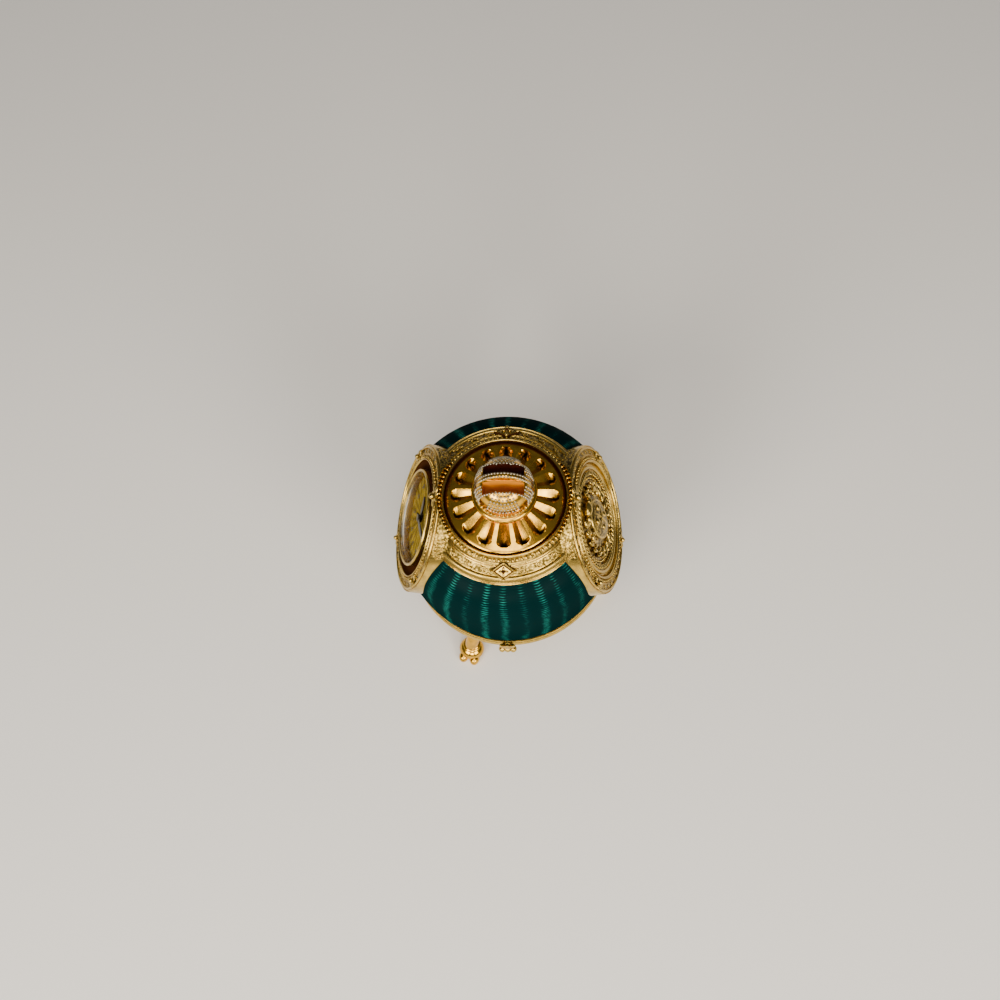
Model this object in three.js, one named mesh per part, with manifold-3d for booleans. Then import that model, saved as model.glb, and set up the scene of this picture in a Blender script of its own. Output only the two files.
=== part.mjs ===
// Enamel egg clock: a guilloche-enamelled egg, blunt end up, with three chased medallions.
// The front medallion is the clock, the back one a relief, the top one a sunburst under a crown.
// Millimetres, +Z up, dial towards -Y, origin on the floor under the egg's axis.
import * as THREE from 'three';
import { mergeVertices } from 'three/addons/utils/BufferGeometryUtils.js';
import Module from 'manifold-3d';

// Egg
const BAND_RADIUS = 35.0;
const BAND_Z = 43.5;
const BAND_HEIGHT = 3.0;
const EGG_CENTRE_Z = 66.25;
const EGG_RADIUS = 36.75;
const EGG_TOP_RISE = 24.4;
const EGG_SHOULDER = 3.0;
const EGG_LOW_FALL = 53.4;
const EGG_BOTTOM_Z = 13.0;

// Top medallion
const TOP_INNER = [19.6, 93.6];
const TOP_FOOT = [27.2, 87.1];
const TOP_BASE_Z = 84.0;
const TOP_SEAT_Z = 88.0;
const WELL_RADIUS = 21.5;
const FLUTES = 16;
const CROWN_BASE_RADIUS = 10.5;
const CROWN_BASE_Z = 97.2;
const CROWN_RADIUS = 9.6;
const CROWN_SWELL = 2.6;
const CROWN_SLOT = [1.2, 5.0];
const CIRCLET_RADIUS = 9.0;
const CROWN_HEIGHT = 12.6;

// Side medallions
const SIDE_Y = 31.1;
const SIDE_Z = 74.6;
const SIDE_TILT = 22.7;
const SIDE_INNER = 19.4;
const SIDE_OUTER = 24.8;
const SIDE_BACK = -6.5;
const SIDE_SEAT = -4.2;
const GLASS_RADIUS = 15.2;
const DIAL_RADIUS = 15.0;
const JUNCTION_REACH = 20.6;
const ROSETTE_LONG = 3.7;
const ROSETTE_WIDE = 2.6;

// Stand
const LEG_ANGLES = [-30, 90, 210];
const FOOT_RADIUS = 30.2;

const GAP = 0.3;
const ROUND = 32;
const EGG_ROUND = 40;
const FAR = 60;

const wasm = await Module();
wasm.setup();

const GILT = new THREE.MeshStandardMaterial({ color: 0xd0ac5a, metalness: 1, roughness: 0.3 });
const ENAMEL = new THREE.MeshStandardMaterial({ color: 0x0a4642, metalness: 0, roughness: 0.15 });
const DIAL = new THREE.MeshStandardMaterial({ color: 0xa8924e, metalness: 0.3, roughness: 0.4 });
const HANDS = new THREE.MeshStandardMaterial({ color: 0x2a1c10, metalness: 0.8, roughness: 0.35 });
const CRYSTAL = new THREE.MeshStandardMaterial({ color: 0xf2f4f2, transparent: true, opacity: 0.3 });

// A closed three.js geometry as a solid that can be joined and cut.
function solid(geometry, matrix) {
  let g = geometry.clone();
  g.deleteAttribute('normal');
  g.deleteAttribute('uv');
  if (matrix) g.applyMatrix4(matrix);
  g = mergeVertices(g, 1e-4);
  const p = g.attributes.position.array;
  const index = g.index.array;
  const tris = [];
  let volume = 0;
  for (let i = 0; i < index.length; i += 3) {
    const [a, b, c] = [index[i], index[i + 1], index[i + 2]];
    if (a === b || b === c || a === c) continue;
    tris.push(a, b, c);
    const va = new THREE.Vector3().fromArray(p, 3 * a);
    const vb = new THREE.Vector3().fromArray(p, 3 * b);
    const vc = new THREE.Vector3().fromArray(p, 3 * c);
    volume += va.dot(vb.cross(vc));
  }
  if (volume < 0) {
    for (let i = 0; i < tris.length; i += 3) [tris[i + 1], tris[i + 2]] = [tris[i + 2], tris[i + 1]];
  }
  return new wasm.Manifold(new wasm.Mesh({
    numProp: 3,
    vertProperties: new Float32Array(p),
    triVerts: new Uint32Array(tris),
  }));
}

const group = new THREE.Group();

function piece(name, body, material) {
  const m = body.getMesh();
  const g = new THREE.BufferGeometry();
  g.setAttribute('position', new THREE.BufferAttribute(new Float32Array(m.vertProperties), 3));
  g.setIndex(new THREE.BufferAttribute(new Uint32Array(m.triVerts), 1));
  g.computeVertexNormals();
  const mesh = new THREE.Mesh(g, material);
  mesh.name = name;
  group.add(mesh);
}

// A profile of [radius, height] pairs turned about +Z.
function turned(profile, matrix, segments = ROUND) {
  const g = new THREE.LatheGeometry(profile.map(([r, z]) => new THREE.Vector2(r, z)), segments);
  g.rotateX(Math.PI / 2);
  return solid(g, matrix);
}

function ringProfile(points) {
  return [...points, points[0]];
}

function rod(radius, low, high, matrix, segments = ROUND) {
  return turned([[0, low], [radius, low], [radius, high], [0, high]], matrix, segments);
}

// A ball stretched along its own axes, put in place by a matrix.
function ball(size, at, matrix = new THREE.Matrix4(), turn = 0, around = 6, rows = 4) {
  const own = new THREE.Matrix4().makeTranslation(...at)
    .multiply(new THREE.Matrix4().makeRotationZ(turn))
    .multiply(new THREE.Matrix4().makeScale(...size));
  return solid(new THREE.SphereGeometry(1, around, rows), matrix.clone().multiply(own));
}

function box(size, at, matrix = new THREE.Matrix4()) {
  const own = new THREE.Matrix4().makeTranslation(...at);
  return solid(new THREE.BoxGeometry(...size), matrix.clone().multiply(own));
}

function joined(list) {
  return list.reduce((sum, next) => sum.add(next));
}

// The chased moulding between an inner and an outer edge, listed from inside outwards.
function chasedRing(inner, outer) {
  const along = [outer[0] - inner[0], outer[1] - inner[1]];
  const length = Math.hypot(...along);
  const rise = [-along[1] / length, along[0] / length];
  const steps = [
    [0.03, 0.35], [0.09, 0.0], [0.2, 0.5], [0.35, 0.05], [0.55, 0.45], [0.71, 0.05],
    [0.76, 0.65], [0.84, 0.65], [0.88, 0.0],
  ];
  const points = steps.map(([s, h]) => [
    inner[0] + along[0] * s + rise[0] * h,
    inner[1] + along[1] * s + rise[1] * h,
  ]);
  return [inner, ...points, outer];
}

// A medallion's own axes: x to the right of who faces it, y up its face, z out of it.
function medallion(front) {
  const a = THREE.MathUtils.degToRad(SIDE_TILT);
  const out = new THREE.Vector3(0, front * Math.cos(a), Math.sin(a));
  const up = new THREE.Vector3(0, -front * Math.sin(a), Math.cos(a));
  const right = new THREE.Vector3().crossVectors(up, out);
  return new THREE.Matrix4().makeBasis(right, up, out).setPosition(0, front * SIDE_Y, SIDE_Z);
}

const dialAxes = medallion(-1);
const reliefAxes = medallion(1);

// Lozenge-shaped flower: four petals, a cup and a standing bead.
function rosette(matrix) {
  const p = [
    ball([ROSETTE_LONG, ROSETTE_WIDE, 0.75], [0, 0, 0.2], matrix, 0, 8, 4),
    ball([0.95, 0.95, 1.5], [0, 0, 0.7], matrix, 0, 6, 4),
  ];
  return joined(p);
}

// Egg profile from the bottom up, with the groove that holds the band.
function eggRadius(z) {
  const above = z > EGG_CENTRE_Z;
  const t = Math.abs(z - EGG_CENTRE_Z) / (above ? EGG_TOP_RISE : EGG_LOW_FALL);
  const power = above ? EGG_SHOULDER : 2;
  return EGG_RADIUS * Math.max(0, 1 - t ** power) ** (1 / power);
}

function lowerCurve(t) {
  const start = [eggRadius(BAND_Z), BAND_Z];
  const control = [start[0] - 4.3, BAND_Z - 13.3];
  const end = [14.0, EGG_BOTTOM_Z];
  const u = 1 - t;
  return [
    u * u * u * start[0] + 3 * u * u * t * control[0] + 3 * u * t * t * end[0],
    u * u * u * start[1] + 3 * u * u * t * control[1] + 3 * u * t * t * end[1] + t * t * t * EGG_BOTTOM_Z,
  ];
}

function eggProfile() {
  const points = [];
  for (let i = 7; i >= 1; i -= 1) points.push(lowerCurve(i / 7));
  points[0][0] = 0;
  const low = BAND_Z - BAND_HEIGHT / 2;
  const high = BAND_Z + BAND_HEIGHT / 2;
  const under = points.filter(([, z]) => z < low - 0.4);
  const lowRadius = eggRadius(low);
  const highRadius = eggRadius(high);
  under.push([lowRadius, low], [lowRadius - 1.4, low], [highRadius - 1.6, high], [highRadius, high]);
  for (const z of [50, 57, 64, 70, 75, 79, 82, 84.5, 86]) under.push([eggRadius(z), z]);
  under.push([TOP_FOOT[0] + GAP, TOP_FOOT[1] - 0.1]);
  under.push([TOP_FOOT[0] + GAP, TOP_BASE_Z - GAP], [0, TOP_BASE_Z - GAP]);
  return under;
}

// Side frames stop short of the round well that holds the sunburst.
const well = rod(WELL_RADIUS, 70, 120);
const keptWell = rod(WELL_RADIUS - GAP, 70, 120);

function sideCutter(axes) {
  return rod(SIDE_OUTER + GAP, SIDE_BACK - GAP, FAR, axes).subtract(keptWell);
}

const dialCutter = sideCutter(dialAxes);
const reliefCutter = sideCutter(reliefAxes);

piece('egg_body', turned(eggProfile(), undefined, EGG_ROUND).subtract(dialCutter).subtract(reliefCutter), ENAMEL);

// Girdle band with a sprig and three beads at each quarter.
function girdleBand() {
  const low = BAND_Z - BAND_HEIGHT / 2 + 0.2;
  const high = BAND_Z + BAND_HEIGHT / 2 - 0.2;
  const parts = [turned(ringProfile([
    [eggRadius(low) - 1.1, low], [BAND_RADIUS - 0.6, low], [BAND_RADIUS, BAND_Z - 0.5],
    [BAND_RADIUS - 0.1, BAND_Z + 0.4], [eggRadius(high) + 0.6, high], [eggRadius(high) - 1.3, high],
  ]), undefined, EGG_ROUND)];
  for (let k = 0; k < 4; k += 1) {
    const m = new THREE.Matrix4().makeRotationZ(k * Math.PI / 2)
      .multiply(new THREE.Matrix4().makeTranslation(BAND_RADIUS - 0.6, 0, BAND_Z))
      .multiply(new THREE.Matrix4().makeRotationY(0.32));
    parts.push(ball([2.0, 3.2, 3.8], [-0.2, 0, -0.5], m, 0, 8, 4));
    for (const [y, z, r] of [[-1.8, -1.5, 1.25], [1.8, -1.5, 1.25], [0, -2.4, 1.35]]) {
      parts.push(ball([r, r, r], [1.2, y, z - 0.5], m));
    }
    parts.push(ball([0.9, 1.1, 2.6], [0.75, 0, 2.4], m));
  }
  return joined(parts);
}
const eggClear = turned(eggProfile().map(([r, z]) => [r === 0 ? 0 : r + 0.25, z]), undefined, EGG_ROUND);
piece('girdle_band', girdleBand().subtract(eggClear), GILT);

// Top frame: a shallow cup with the chased cone and two rosettes.
function topFrame() {
  const ring = chasedRing(TOP_INNER, TOP_FOOT);
  const inner = TOP_INNER[0] + 0.1;
  const profile = [[0, TOP_SEAT_Z], [inner, TOP_SEAT_Z], [inner, TOP_INNER[1] - 0.2], ...ring.slice(1),
    [TOP_FOOT[0], TOP_BASE_Z], [0, TOP_BASE_Z]];
  const parts = [turned(profile)];
  const slope = Math.atan2(TOP_INNER[1] - TOP_FOOT[1], TOP_FOOT[0] - TOP_INNER[0]);
  for (const turn of [0, Math.PI]) {
    const m = new THREE.Matrix4().makeRotationZ(turn)
      .multiply(new THREE.Matrix4().makeTranslation(22.9, 0, 91.0))
      .multiply(new THREE.Matrix4().makeRotationY(slope));
    parts.push(rosette(m));
  }
  return joined(parts).subtract(dialCutter).subtract(reliefCutter);
}
piece('top_frame', topFrame(), GILT);

// Sunburst plate: a dome with concave channels that deepen towards their round outer ends.
function sunburst() {
  const rim = TOP_INNER[0] - 0.3;
  const base = TOP_SEAT_Z + GAP;
  const perFlute = 4;
  const around = FLUTES * perFlute;
  const radii = [6.0, 11.0, 14.5, 16.2, 17.2, 18.1, rim];
  const height = (r) => 97.6 - 0.0128 * r * r - (r > 18 ? 0.5 : 0);
  const depth = (r) => (r <= 6 || r >= 17 ? 0 : 3.0 * (r - 6) / 10);
  const positions = [];
  const index = [];
  const ring = (r, z) => {
    for (let i = 0; i < around; i += 1) {
      const a = (i / around) * 2 * Math.PI - Math.PI / FLUTES;
      positions.push(r * Math.cos(a), r * Math.sin(a), z(i));
    }
  };
  ring(rim, () => base);
  for (const r of radii.slice().reverse()) {
    ring(r, (i) => {
      const u = ((i % perFlute) / perFlute) * 2 - 1;
      const hollow = Math.max(0, 1 - u * u * 3.2);
      return height(r) - depth(r) * hollow;
    });
  }
  const rings = radii.length + 1;
  for (let k = 0; k + 1 < rings; k += 1) {
    for (let i = 0; i < around; i += 1) {
      const j = (i + 1) % around;
      const [a, b, c, d] = [k * around + i, k * around + j, (k + 1) * around + i, (k + 1) * around + j];
      index.push(a, b, d, a, d, c);
    }
  }
  const low = positions.length / 3;
  positions.push(0, 0, base, 0, 0, height(0));
  for (let i = 0; i < around; i += 1) {
    const j = (i + 1) % around;
    const top = (rings - 1) * around;
    index.push(low, j, i, low + 1, top + i, top + j);
  }
  const g = new THREE.BufferGeometry();
  g.setAttribute('position', new THREE.BufferAttribute(new Float32Array(positions), 3));
  g.setIndex(index);
  return solid(g);
}
// The crown stands in a round seat in the middle of the sunburst.
const crownSeat = rod(CROWN_BASE_RADIUS + 0.2, CROWN_BASE_Z - 1.9, FAR * 3, undefined, 24);
piece('sunburst_plate', sunburst().subtract(crownSeat), GILT);

// Crown: base ring, circlet, two half-domes and an arch that runs from the dial to the relief.
function crown() {
  const z = CROWN_BASE_Z;
  const base = turned([
    [0, z - 1.6], [CROWN_BASE_RADIUS - 0.4, z - 1.6], [CROWN_BASE_RADIUS, z], [CROWN_BASE_RADIUS - 0.4, z + 1.1],
    [CROWN_BASE_RADIUS - 1.3, z + 1.6], [CIRCLET_RADIUS - 0.6, z + 1.2], [0, z + 1.2],
  ], undefined, 24);
  const dome = [[0, z], [CIRCLET_RADIUS - 0.4, z]];
  for (let i = 1; i <= 5; i += 1) {
    const t = (i / 5) * Math.PI / 2;
    const swell = CROWN_RADIUS * Math.cos(t) ** (2 / CROWN_SWELL);
    dome.push([i === 5 ? 0 : swell, z + 1.2 + (CROWN_HEIGHT - 1.2) * Math.sin(t) ** (2 / CROWN_SWELL)]);
  }
  let body = turned(dome, undefined, 20);
  const floor = z + 2.2;
  const slotWidth = CROWN_SLOT[1] - CROWN_SLOT[0];
  const slotMiddle = (CROWN_SLOT[0] + CROWN_SLOT[1]) / 2;
  for (const side of [-1, 1]) body = body.subtract(box([slotWidth, 40, 20], [side * slotMiddle, 0, floor + 10]));
  const path = new THREE.CatmullRomCurve3([[-8.8, 1.5], [-8.6, 6.5], [-5.8, 12.2], [0, 14.6], [5.8, 12.2], [8.6, 6.5],
    [8.8, 1.5]].map(([y, h]) => new THREE.Vector3(0, y, z + h - 0.6)));
  const section = new THREE.Shape([[-0.8, -1.3], [0.8, -1.3], [0.8, 1.3], [-0.8, 1.3]]
    .map(([x, y]) => new THREE.Vector2(x, y)));
  const arch = solid(new THREE.ExtrudeGeometry(section, { steps: 12, extrudePath: path, bevelEnabled: false }));
  const parts = [base, body, arch];
  const beads = 9;
  for (let i = 1; i < beads; i += 1) {
    const p = path.getPoint(i / beads);
    parts.push(ball([0.95, 0.95, 0.95], [p.x, p.y * 1.06, p.z + 0.5], undefined, 0, 5, 3));
  }
  for (const side of [-1, 1]) {
    for (let i = 0; i < 5; i += 1) {
      const a = (i / 4 - 0.5) * 2.0 + (side > 0 ? 0 : Math.PI);
      parts.push(ball([0.8, 0.8, 0.8], [CIRCLET_RADIUS * Math.cos(a), CIRCLET_RADIUS * Math.sin(a), z + 2.6],
        undefined, 0, 5, 3));
    }
  }
  return joined(parts);
}
piece('crown_finial', crown(), GILT);

// Side frames: a drum with the chased ring on its face, a hollow ring inside it and a seat.
function sideFrame(axes, wellRadius) {
  const ring = chasedRing([SIDE_INNER, -1.0], [SIDE_OUTER, -1.9]);
  const profile = [[0, SIDE_SEAT], [wellRadius, SIDE_SEAT], [wellRadius, -2.6], [SIDE_INNER - 1.2, -2.3],
    ...ring, [SIDE_OUTER, SIDE_BACK], [0, SIDE_BACK]];
  const parts = [turned(profile, axes)];
  const middle = (SIDE_INNER + SIDE_OUTER) / 2;
  for (let k = 0; k < 4; k += 1) {
    const a = k * Math.PI / 2;
    const reach = k === 0 ? JUNCTION_REACH : middle;
    const own = new THREE.Matrix4().makeRotationZ(a)
      .multiply(new THREE.Matrix4().makeTranslation(0, reach, -1.3));
    parts.push(rosette(axes.clone().multiply(own)));
  }
  return joined(parts).subtract(well);
}
const BEZEL_OUTER = 16.3;
piece('dial_frame', sideFrame(dialAxes, BEZEL_OUTER + GAP), GILT);
piece('relief_frame', sideFrame(reliefAxes, SIDE_INNER - 1.2), GILT);

// Clock: bezel, dial, hands and domed glass.
const DIAL_TOP = -3.1;
piece('dial_bezel', turned(ringProfile([
  [GLASS_RADIUS + GAP, SIDE_SEAT + GAP], [BEZEL_OUTER, SIDE_SEAT + GAP], [BEZEL_OUTER, -0.5],
  [BEZEL_OUTER - 0.25, 0.1], [GLASS_RADIUS + GAP + 0.2, 0.1], [GLASS_RADIUS + GAP, -0.2],
]), dialAxes).subtract(well), GILT);
piece('dial_plate', turned([[0, SIDE_SEAT + GAP], [DIAL_RADIUS, SIDE_SEAT + GAP], [DIAL_RADIUS, DIAL_TOP],
  [0, DIAL_TOP]], dialAxes), DIAL);

function hand(length, width, tail, low, high, hub, hole, angle) {
  const shape = new THREE.Shape([[-width * 0.5, -tail], [width * 0.5, -tail], [width * 0.35, 0], [width, length * 0.62],
    [0, length], [-width, length * 0.62], [-width * 0.35, 0]].map(([x, y]) => new THREE.Vector2(x, y)));
  const turn = new THREE.Matrix4().makeRotationZ(-THREE.MathUtils.degToRad(angle));
  const lift = new THREE.Matrix4().makeTranslation(0, 0, low);
  const m = dialAxes.clone().multiply(turn).multiply(lift);
  const blade = solid(new THREE.ExtrudeGeometry(shape, { depth: high - low, bevelEnabled: false }), m);
  const boss = blade.add(rod(hub, low, high, dialAxes, 10));
  return hole ? boss.subtract(rod(hole, low - 1, high + 1, dialAxes, 10)) : boss;
}
piece('hour_hand', hand(7.4, 1.0, 1.6, -2.75, -2.35, 1.5, 0.95, -57), HANDS);
const minuteHand = hand(11.6, 0.8, 2.2, -2.0, -1.6, 1.2, 0, 60).add(rod(0.65, DIAL_TOP + GAP, -1.8, dialAxes, 12));
piece('minute_hand', minuteHand, HANDS);

function glassProfile() {
  const rise = 2.2;
  const outer = [];
  const inner = [];
  for (let i = 0; i <= 3; i += 1) {
    const r = GLASS_RADIUS * i / 3;
    const z = rise * (1 - (r / GLASS_RADIUS) ** 2);
    outer.push([r, z - 0.1]);
    inner.push([r, z - 1.1]);
  }
  return [...inner, ...outer.reverse()];
}
piece('dial_glass', turned(glassProfile(), dialAxes), CRYSTAL);

// Relief: a domed field with a rope border, a shield and a laurel wreath.
function relief() {
  const rim = SIDE_INNER - 1.5;
  const parts = [turned([[0, SIDE_SEAT + GAP], [rim, SIDE_SEAT + GAP], [rim, -2.0], [rim - 0.6, -1.3], [rim - 1.2, -2.2],
    [14.6, -2.4], [8, -1.5], [0, -1.0]], reliefAxes)];
  parts.push(turned(ringProfile([[14.7, -2.6], [15.1, -1.5], [15.6, -1.2], [16.1, -1.5], [16.5, -2.6]]), reliefAxes));
  parts.push(ball([6.4, 8.0, 2.6], [0, 0.4, -0.9], reliefAxes, 0, 12, 6));
  parts.push(ball([3.0, 2.2, 1.9], [0, 9.4, -1.2], reliefAxes, 0, 8, 4));
  for (const side of [-1, 1]) {
    for (let i = 0; i < 6; i += 1) {
      const a = -Math.PI / 2 + side * (0.35 + i * 0.42);
      parts.push(ball([2.6, 1.2, 1.2], [10.9 * Math.cos(a), 10.9 * Math.sin(a), -1.3], reliefAxes,
        a + side * 1.0, 5, 3));
    }
  }
  return joined(parts);
}
piece('relief_plaque', relief().subtract(well), GILT);

// Stand: a cup under the egg and three scroll legs on paw feet, cast as one.
function stand() {
  const inner = [];
  for (let i = 0; i <= 4; i += 1) {
    const [r, z] = lowerCurve(1 - i * 0.1);
    inner.push([i === 0 ? 0 : r + 0.5, z - 0.3]);
  }
  const [lipRadius, lipZ] = inner[4];
  const profile = [[0, 4.6], [2.2, 5.2], [2.6, 6.6], [1.9, 7.4], [6.5, 8.0], [10.5, 9.8], [lipRadius, lipZ - 2.6],
    [lipRadius + 1.4, lipZ - 1.0], [lipRadius + 1.0, lipZ + 0.4], ...inner.reverse()];
  const parts = [turned(profile, undefined, 24)];
  for (const angle of LEG_ANGLES) {
    const m = new THREE.Matrix4().makeRotationZ(THREE.MathUtils.degToRad(angle));
    const path = new THREE.CatmullRomCurve3([[7.5, 9.6], [14, 11.2], [21.5, 15.4], [26.6, 14.2], [29.2, 8.6], [29.9, 3.6]]
      .map(([r, z]) => new THREE.Vector3(r, 0, z)));
    const section = new THREE.Shape();
    section.absellipse(0, 0, 2.0, 2.6, 0, 2 * Math.PI);
    const tube = new THREE.ExtrudeGeometry(section, {
      steps: 9, curveSegments: 4, extrudePath: path, bevelEnabled: false,
    });
    parts.push(solid(tube, m));
    parts.push(ball([3.0, 3.0, 2.4], [21.6, 0, 16.6], m, 0, 8, 4));
    parts.push(ball([4.0, 3.6, 3.2], [FOOT_RADIUS, 0, 2.6], m, 0, 8, 5));
    for (const y of [-2.1, 2.1]) parts.push(ball([2.5, 1.9, 2.0], [FOOT_RADIUS + 3.4, y, 1.7], m, 0, 6, 5));
  }
  return joined(parts).subtract(box([120, 120, 20], [0, 0, -10]));
}
const eggRest = turned(eggProfile().map(([r, z]) => [r === 0 ? 0 : r + 0.2, z - 0.2]), undefined, EGG_ROUND);
piece('stand', stand().subtract(eggRest), GILT);

export default group;
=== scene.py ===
import bisect
import math

import bmesh
import bpy
from mathutils import Matrix, Vector


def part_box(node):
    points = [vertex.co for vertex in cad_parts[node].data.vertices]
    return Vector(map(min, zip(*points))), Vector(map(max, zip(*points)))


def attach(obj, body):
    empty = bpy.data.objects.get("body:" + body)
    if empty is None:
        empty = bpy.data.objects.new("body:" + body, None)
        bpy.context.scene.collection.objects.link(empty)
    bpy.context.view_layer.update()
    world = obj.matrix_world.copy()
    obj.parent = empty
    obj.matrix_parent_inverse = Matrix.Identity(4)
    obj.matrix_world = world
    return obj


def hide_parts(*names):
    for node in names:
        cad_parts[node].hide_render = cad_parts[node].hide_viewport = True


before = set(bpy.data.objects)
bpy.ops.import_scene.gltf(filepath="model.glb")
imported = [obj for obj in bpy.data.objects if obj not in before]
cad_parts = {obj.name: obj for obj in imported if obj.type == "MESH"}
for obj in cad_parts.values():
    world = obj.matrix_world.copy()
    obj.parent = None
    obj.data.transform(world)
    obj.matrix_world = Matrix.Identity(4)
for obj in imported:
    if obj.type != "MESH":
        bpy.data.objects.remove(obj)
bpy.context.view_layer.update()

bl_info = {
    "name": "Enamel egg clock",
    "version": (1, 0, 0),
    "blender": (4, 5, 0),
    "location": "View3D > Sidebar > Egg clock",
    "description": "Dresses the enamel egg clock over its frame",
    "category": "Object",
}

MM = 0.001
TURN = 2 * math.pi
CASE = "case"

# Egg, in millimetres as all shapes are; its bottom is read from the frame
BAND_Z = 43.5
BAND_RADIUS = 35.0
EGG_CENTRE_Z = 66.25
EGG_RADIUS = 36.75
EGG_TOP_RISE = 24.4
EGG_SHOULDER = 3.0
EGG_LOW_FALL = 53.4
EGG_LOW_DRAW = (4.3, 13.3)
EGG_LOW_FLAT = 14.0
EGG_BOTTOM_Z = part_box("egg_body")[0][2] / MM

# Top medallion, with rings given as (radius, height)
TOP_INNER = (19.6, 93.6)
TOP_FOOT = (27.2, 87.1)
TOP_BASE_Z = 84.0
TOP_SEAT_Z = 88.0
WELL_RADIUS = 21.5
WELL_REACH = (60.0, 140.0)
FLUTES = 16
SUNBURST_Z = 97.6
SUNBURST_FALL = 0.0128
SUNBURST_RIM = 18.4
FLUTE_START = 8.0
FLUTE_TIP = 15.4
FLUTE_END = 17.2
CROWN_Z = 97.2
CROWN_BASE_RADIUS = 10.5
CROWN_RADIUS = 9.6
CROWN_SWELL = 2.6
CROWN_SLOT = (1.2, 5.0)
CIRCLET_RADIUS = 9.0
SLOT_REACH = 6.4
SLOT_FLOOR = 2.2
CROWN_HEIGHT = 12.6
CROWN_FOOT = 1.2
ARCH_REACH = 8.7
ARCH_RISE = 12.7

# Side medallions, with rings given as (radius, height along the medallion's own axis)
SIDE_Y = 31.1
SIDE_Z = 74.6
SIDE_TILT = math.radians(22.7)
SIDE_INNER = (19.4, -1.0)
SIDE_OUTER = (24.8, -1.9)
SIDE_BACK = -6.5
SIDE_SEAT = -4.2
SIDE_DEPTH = 60.0
PLATE_BACK = SIDE_SEAT + 0.3
JUNCTION_REACH = 20.6
MITRE_REACH = 15.6
BEZEL_OUTER = 16.3
GLASS_RADIUS = 15.2
DIAL_RADIUS = 15.0
DIAL_TOP = -3.1
NUMBER_RADIUS = 11.3
NUMBER_SIZE = 3.4
TRACK_RADIUS = 13.9
MINUTES = 60
HOURS = 12
HOUR_HAND_ANGLE = -57
MINUTE_HAND_ANGLE = 60
SHIELD_Y = 0.4
SHIELD_HALF = 6.2
SHIELD_ABOVE = 7.4
SHIELD_BELOW = 8.6

# Stand
LEG_ANGLES = (-30, 90, 210)
LEG_KNOTS = [(8.0, 10.7), (14, 11.6), (21.5, 15.4), (26.6, 14.2), (29.2, 8.6), (29.9, 3.6)]
FOOT_RADIUS = 30.2
PAW_TURN = math.radians(15)

# Places of the three paints on a chased ring; the recess paint is painted shade
RING_PAINTS = ("gilt", "chased", "recess")
GILT, CHASED, RECESS = range(3)

# Stage: film width in millimetres, what the lights point at in metres, and plain colours
FILM = 36.0
LIGHT_AIM = (0, 0, 0.06)
LIGHT_COLOUR = (1.0, 0.92, 0.8)
ROOM_COLOUR = (0.92, 0.95, 1.0, 1.0)
FLOOR_COLOUR = (0.86, 0.85, 0.83)
FLOOR_HALF = 3000.0


def moved(x, y, z):
    """A move by three distances."""
    return Matrix.Translation(Vector((x, y, z)))


def spun(angle, axis="Z"):
    """A turn about one axis."""
    return Matrix.Rotation(angle, 4, axis)


def shaded(colour, share):
    """A colour at a share of its brightness."""
    return tuple(c * share for c in colour)


def arc(radius, height, across, up, sweep, count):
    """Profile points on an oval about (radius, height), from its outer side round by a sweep."""
    angles = [sweep * k / count for k in range(count + 1)]
    return [(radius + across * math.cos(a), height + up * math.sin(a)) for a in angles]


# Small graph helpers

class Num:
    """A number socket that takes part in Python expressions."""

    def __init__(self, graph, socket):
        self.graph = graph
        self.socket = socket

    def _math(self, operation, a, b=None):
        values = {0: a} if b is None else {0: a, 1: b}
        made = self.graph.node("ShaderNodeMath", {"operation": operation}, values)
        return Num(self.graph, made.outputs[0])

    def __add__(self, other):
        return self._math("ADD", self, other)

    def __radd__(self, other):
        return self._math("ADD", other, self)

    def __mul__(self, other):
        return self._math("MULTIPLY", self, other)

    def __rmul__(self, other):
        return self._math("MULTIPLY", other, self)

    def __gt__(self, other):
        return self._math("GREATER_THAN", self, other)

    def sin(self):
        return self._math("SINE", self)

    def atan2(self, other):
        return self._math("ARCTAN2", self, other)

    def power(self, other):
        return self._math("POWER", self, other)


class Graph:
    """One node tree; every node but the maths comes from node()."""

    def __init__(self, tree):
        self.tree = tree

    def node(self, kind, settings=None, sockets=None):
        made = self.tree.nodes.new(kind)
        for key, value in (settings or {}).items():
            if key == "stops":
                ramp = made.color_ramp
                for spare in list(ramp.elements)[1:]:
                    ramp.elements.remove(spare)
                for k, (place, colour) in enumerate(value):
                    stop = ramp.elements[0] if k == 0 else ramp.elements.new(place)
                    stop.position = place
                    stop.color = (*colour, 1.0)
            else:
                setattr(made, key, value)
        self.fill(made, sockets or {})
        return made

    def fill(self, made, sockets):
        """Links a node's sockets or sets them to plain values."""
        for key, value in sockets.items():
            target = made.inputs[key]
            if isinstance(value, Num):
                self.tree.links.new(value.socket, target)
            elif isinstance(value, bpy.types.NodeSocket):
                self.tree.links.new(value, target)
            else:
                target.default_value = value

    def num(self, socket):
        """A socket as a number for expressions."""
        return Num(self, socket)

    def noise(self, place, **sockets):
        """Cloudy noise at a place."""
        made = self.node("ShaderNodeTexNoise", None, {"Vector": place, **sockets})
        return Num(self, made.outputs[0])

    def ramp(self, tone, stops):
        """A colour picked by tone from stops of (place, colour)."""
        return self.node("ShaderNodeValToRGB", {"stops": stops}, {0: tone}).outputs[0]

    def bump(self, strength, height):
        """A normal raised by a height."""
        sockets = {"Strength": strength, "Distance": 0.2 * MM, "Height": height}
        return self.node("ShaderNodeBump", None, sockets).outputs[0]

    def split(self, vector):
        """The three parts of a vector."""
        parts = self.node("ShaderNodeSeparateXYZ", None, {0: vector})
        return [Num(self, out) for out in parts.outputs]


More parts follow.
